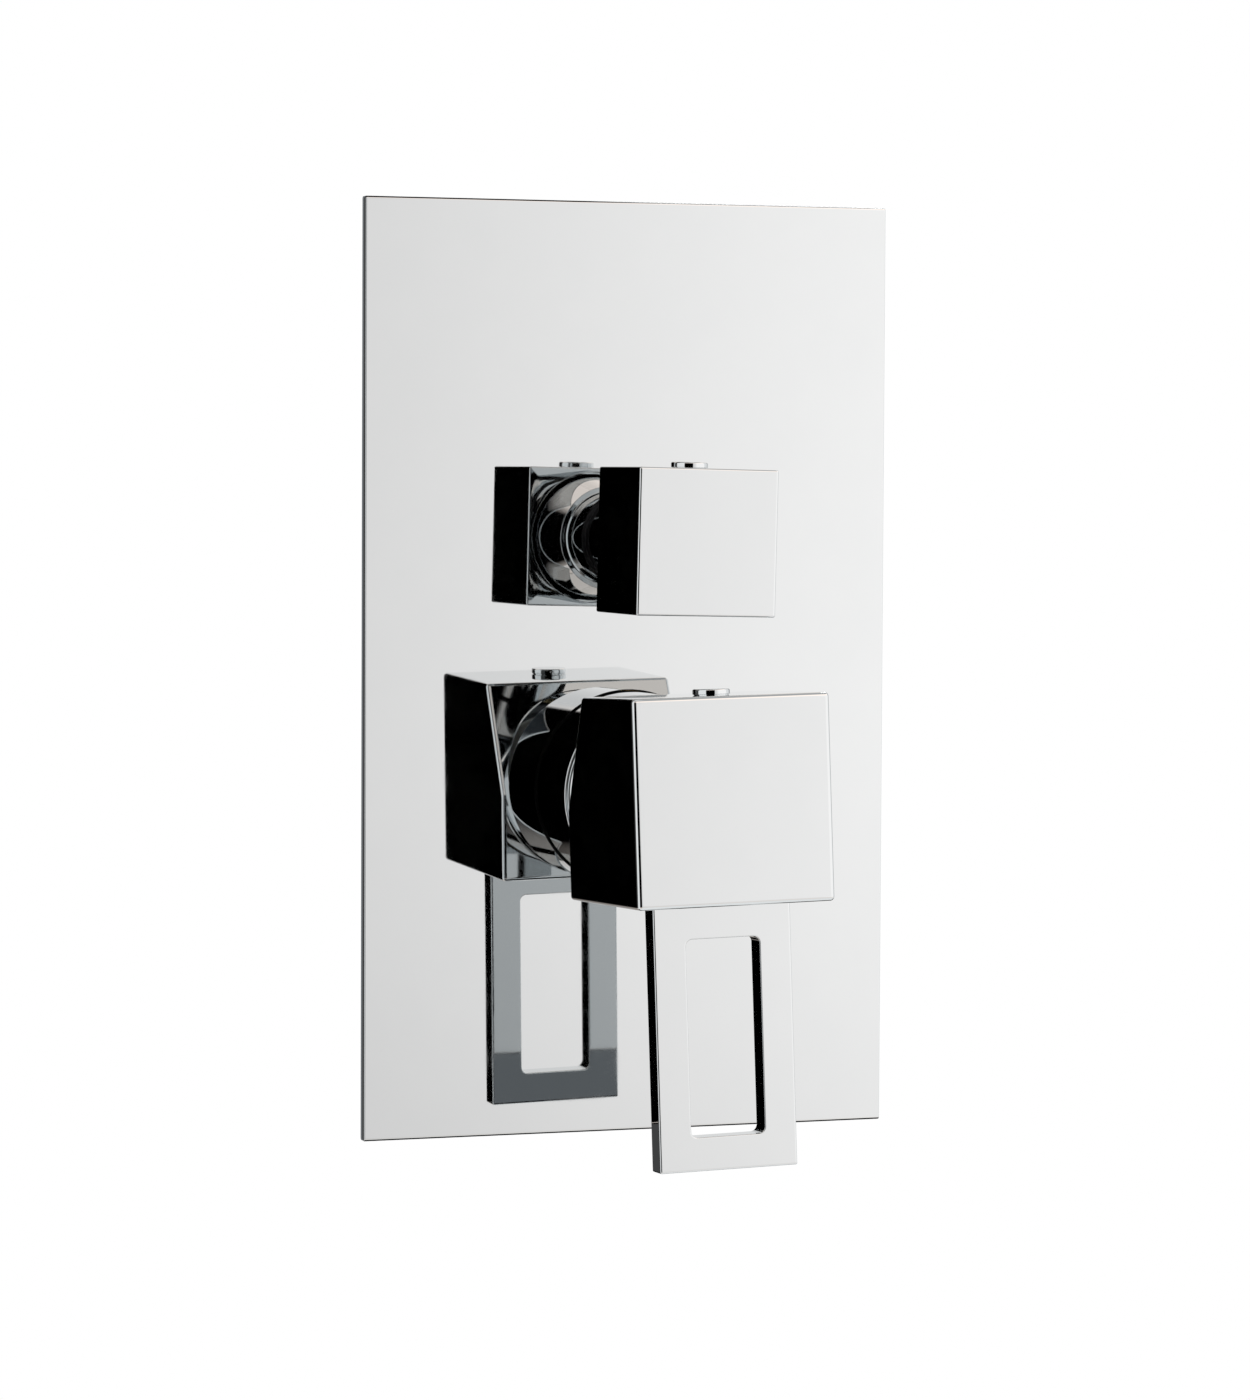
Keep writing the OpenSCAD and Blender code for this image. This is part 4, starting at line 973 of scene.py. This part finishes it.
def addCard(name, grid, facts):
    # only reflections see a card: it has no shadow and doesn't light dull surfaces
    rows, columns = grid.shape[:2]
    row, column = np.meshgrid(np.arange(rows - 1), np.arange(columns - 1), indexing="ij")
    first = (row * columns + column).reshape(-1)
    faces = np.stack([first, first + columns, first + columns + 1, first + 1], axis=1)
    mesh = bpy.data.meshes.new(name)
    mesh.from_pydata(grid.reshape(-1, 3).tolist(), [], faces.tolist())
    u, v = np.meshgrid(np.linspace(0, 1, columns), np.linspace(0, 1, rows))
    corner = np.zeros(len(mesh.loops), int)
    mesh.loops.foreach_get("vertex_index", corner)
    uv = np.stack([u.reshape(-1), v.reshape(-1)], axis=1)[corner]
    mesh.uv_layers.new(name="UVMap").uv.foreach_set("vector", uv.reshape(-1))
    mesh.materials.append(cardMaterial(name, facts))
    card = bpy.data.objects.new(name, mesh)
    bpy.context.scene.collection.objects.link(card)
    card.visible_camera = card.visible_diffuse = card.visible_transmission = False
    card.visible_shadow = card.visible_volume_scatter = False


for cardName, facts in cards.items():
    addCard(cardName, curvedGrid(facts), facts)
for shelfName, facts in shelves.items():
    addCard(shelfName, flatGrid(facts), facts)

ground = {
    "height": -0.6, "radius": 7.0, "columns": 96, "color": (0.86, 0.86, 0.85), "rough": 0.9, "shadowShare": 0.2,
    "shadowReach": (0.8, 1.9),
}


def seenRays(tree):
    # 1 for rays from the camera and for reflected or transmitted ones, else 0
    rays = tree.nodes.new("ShaderNodeLightPath").outputs
    mirrored = addMath(tree, "MAXIMUM", rays["Is Camera Ray"], rays["Is Glossy Ray"])
    return addMath(tree, "MAXIMUM", mirrored, rays["Is Transmission Ray"])


def addFloor():
    # A round pale floor: (r cos a, r sin a, height). It is white to the camera and to reflections, with a little
    # of its own shading kept near the object.
    columns, radius = ground["columns"], ground["radius"]
    angle = np.linspace(0, 2 * np.pi, columns + 1)[:-1]
    edge = np.stack([radius * np.cos(angle), radius * np.sin(angle), np.full(columns, ground["height"])], axis=1)
    mesh = bpy.data.meshes.new("floor")
    mesh.from_pydata(edge.tolist(), [], [list(range(columns))])
    material, tree, place = newFinish("paleFloor", ground["color"], ground["rough"])
    glowing = addRange(tree, addLength(tree, place), *ground["shadowReach"], 1 - ground["shadowShare"], 1)
    overlay(tree, addMath(tree, "MULTIPLY", seenRays(tree), glowing), tree.nodes["Principled BSDF"],
            tree.nodes.new("ShaderNodeEmission"), tree.nodes["Material Output"])
    mesh.materials.append(material)
    floor = bpy.data.objects.new("floor", mesh)
    bpy.context.scene.collection.objects.link(floor)


addFloor()

surround = {"fill": 0.8, "color": (1.0, 1.0, 1.0)}
world = bpy.data.worlds.new("studio")
bpy.context.scene.world = world
world.use_nodes = True
air = world.node_tree.nodes["Background"]
air.inputs["Color"].default_value = (*surround["color"], 1)
level = addRange(world.node_tree, seenRays(world.node_tree), 0, 1, surround["fill"], 1.0)
world.node_tree.links.new(level, air.inputs["Strength"])

# Lamps for the dull surfaces. The two behind the wall body also show in its metal.
lamps = {
    "keyLamp": {"place": (0.9, -1.2, 1.1), "size": 1.0, "power": 14, "mirrored": False},
    "sideLamp": {"place": (-1.3, -0.6, 0.4), "size": 0.9, "power": 6, "mirrored": False},
    "backLamp": {"place": (0.9, 1.1, 0.9), "size": 0.9, "power": 22, "mirrored": True},
    "backFill": {"place": (-1.1, 1.0, 0.3), "size": 0.9, "power": 10, "mirrored": True},
}
for lampName, facts in lamps.items():
    lamp = bpy.data.lights.new(lampName, "AREA")
    lamp.shape = "DISK"
    lamp.size = facts["size"]
    lamp.energy = facts["power"]
    lampObject = bpy.data.objects.new(lampName, lamp)
    lampObject.location = facts["place"]
    toward = -lampObject.location
    lampObject.rotation_euler = toward.to_track_quat("-Z", "Y").to_euler()
    lampObject.visible_camera = False
    lampObject.visible_glossy = facts["mirrored"]
    bpy.context.scene.collection.objects.link(lampObject)

bpy.context.scene.view_settings.view_transform = "Standard"
print("studio made")
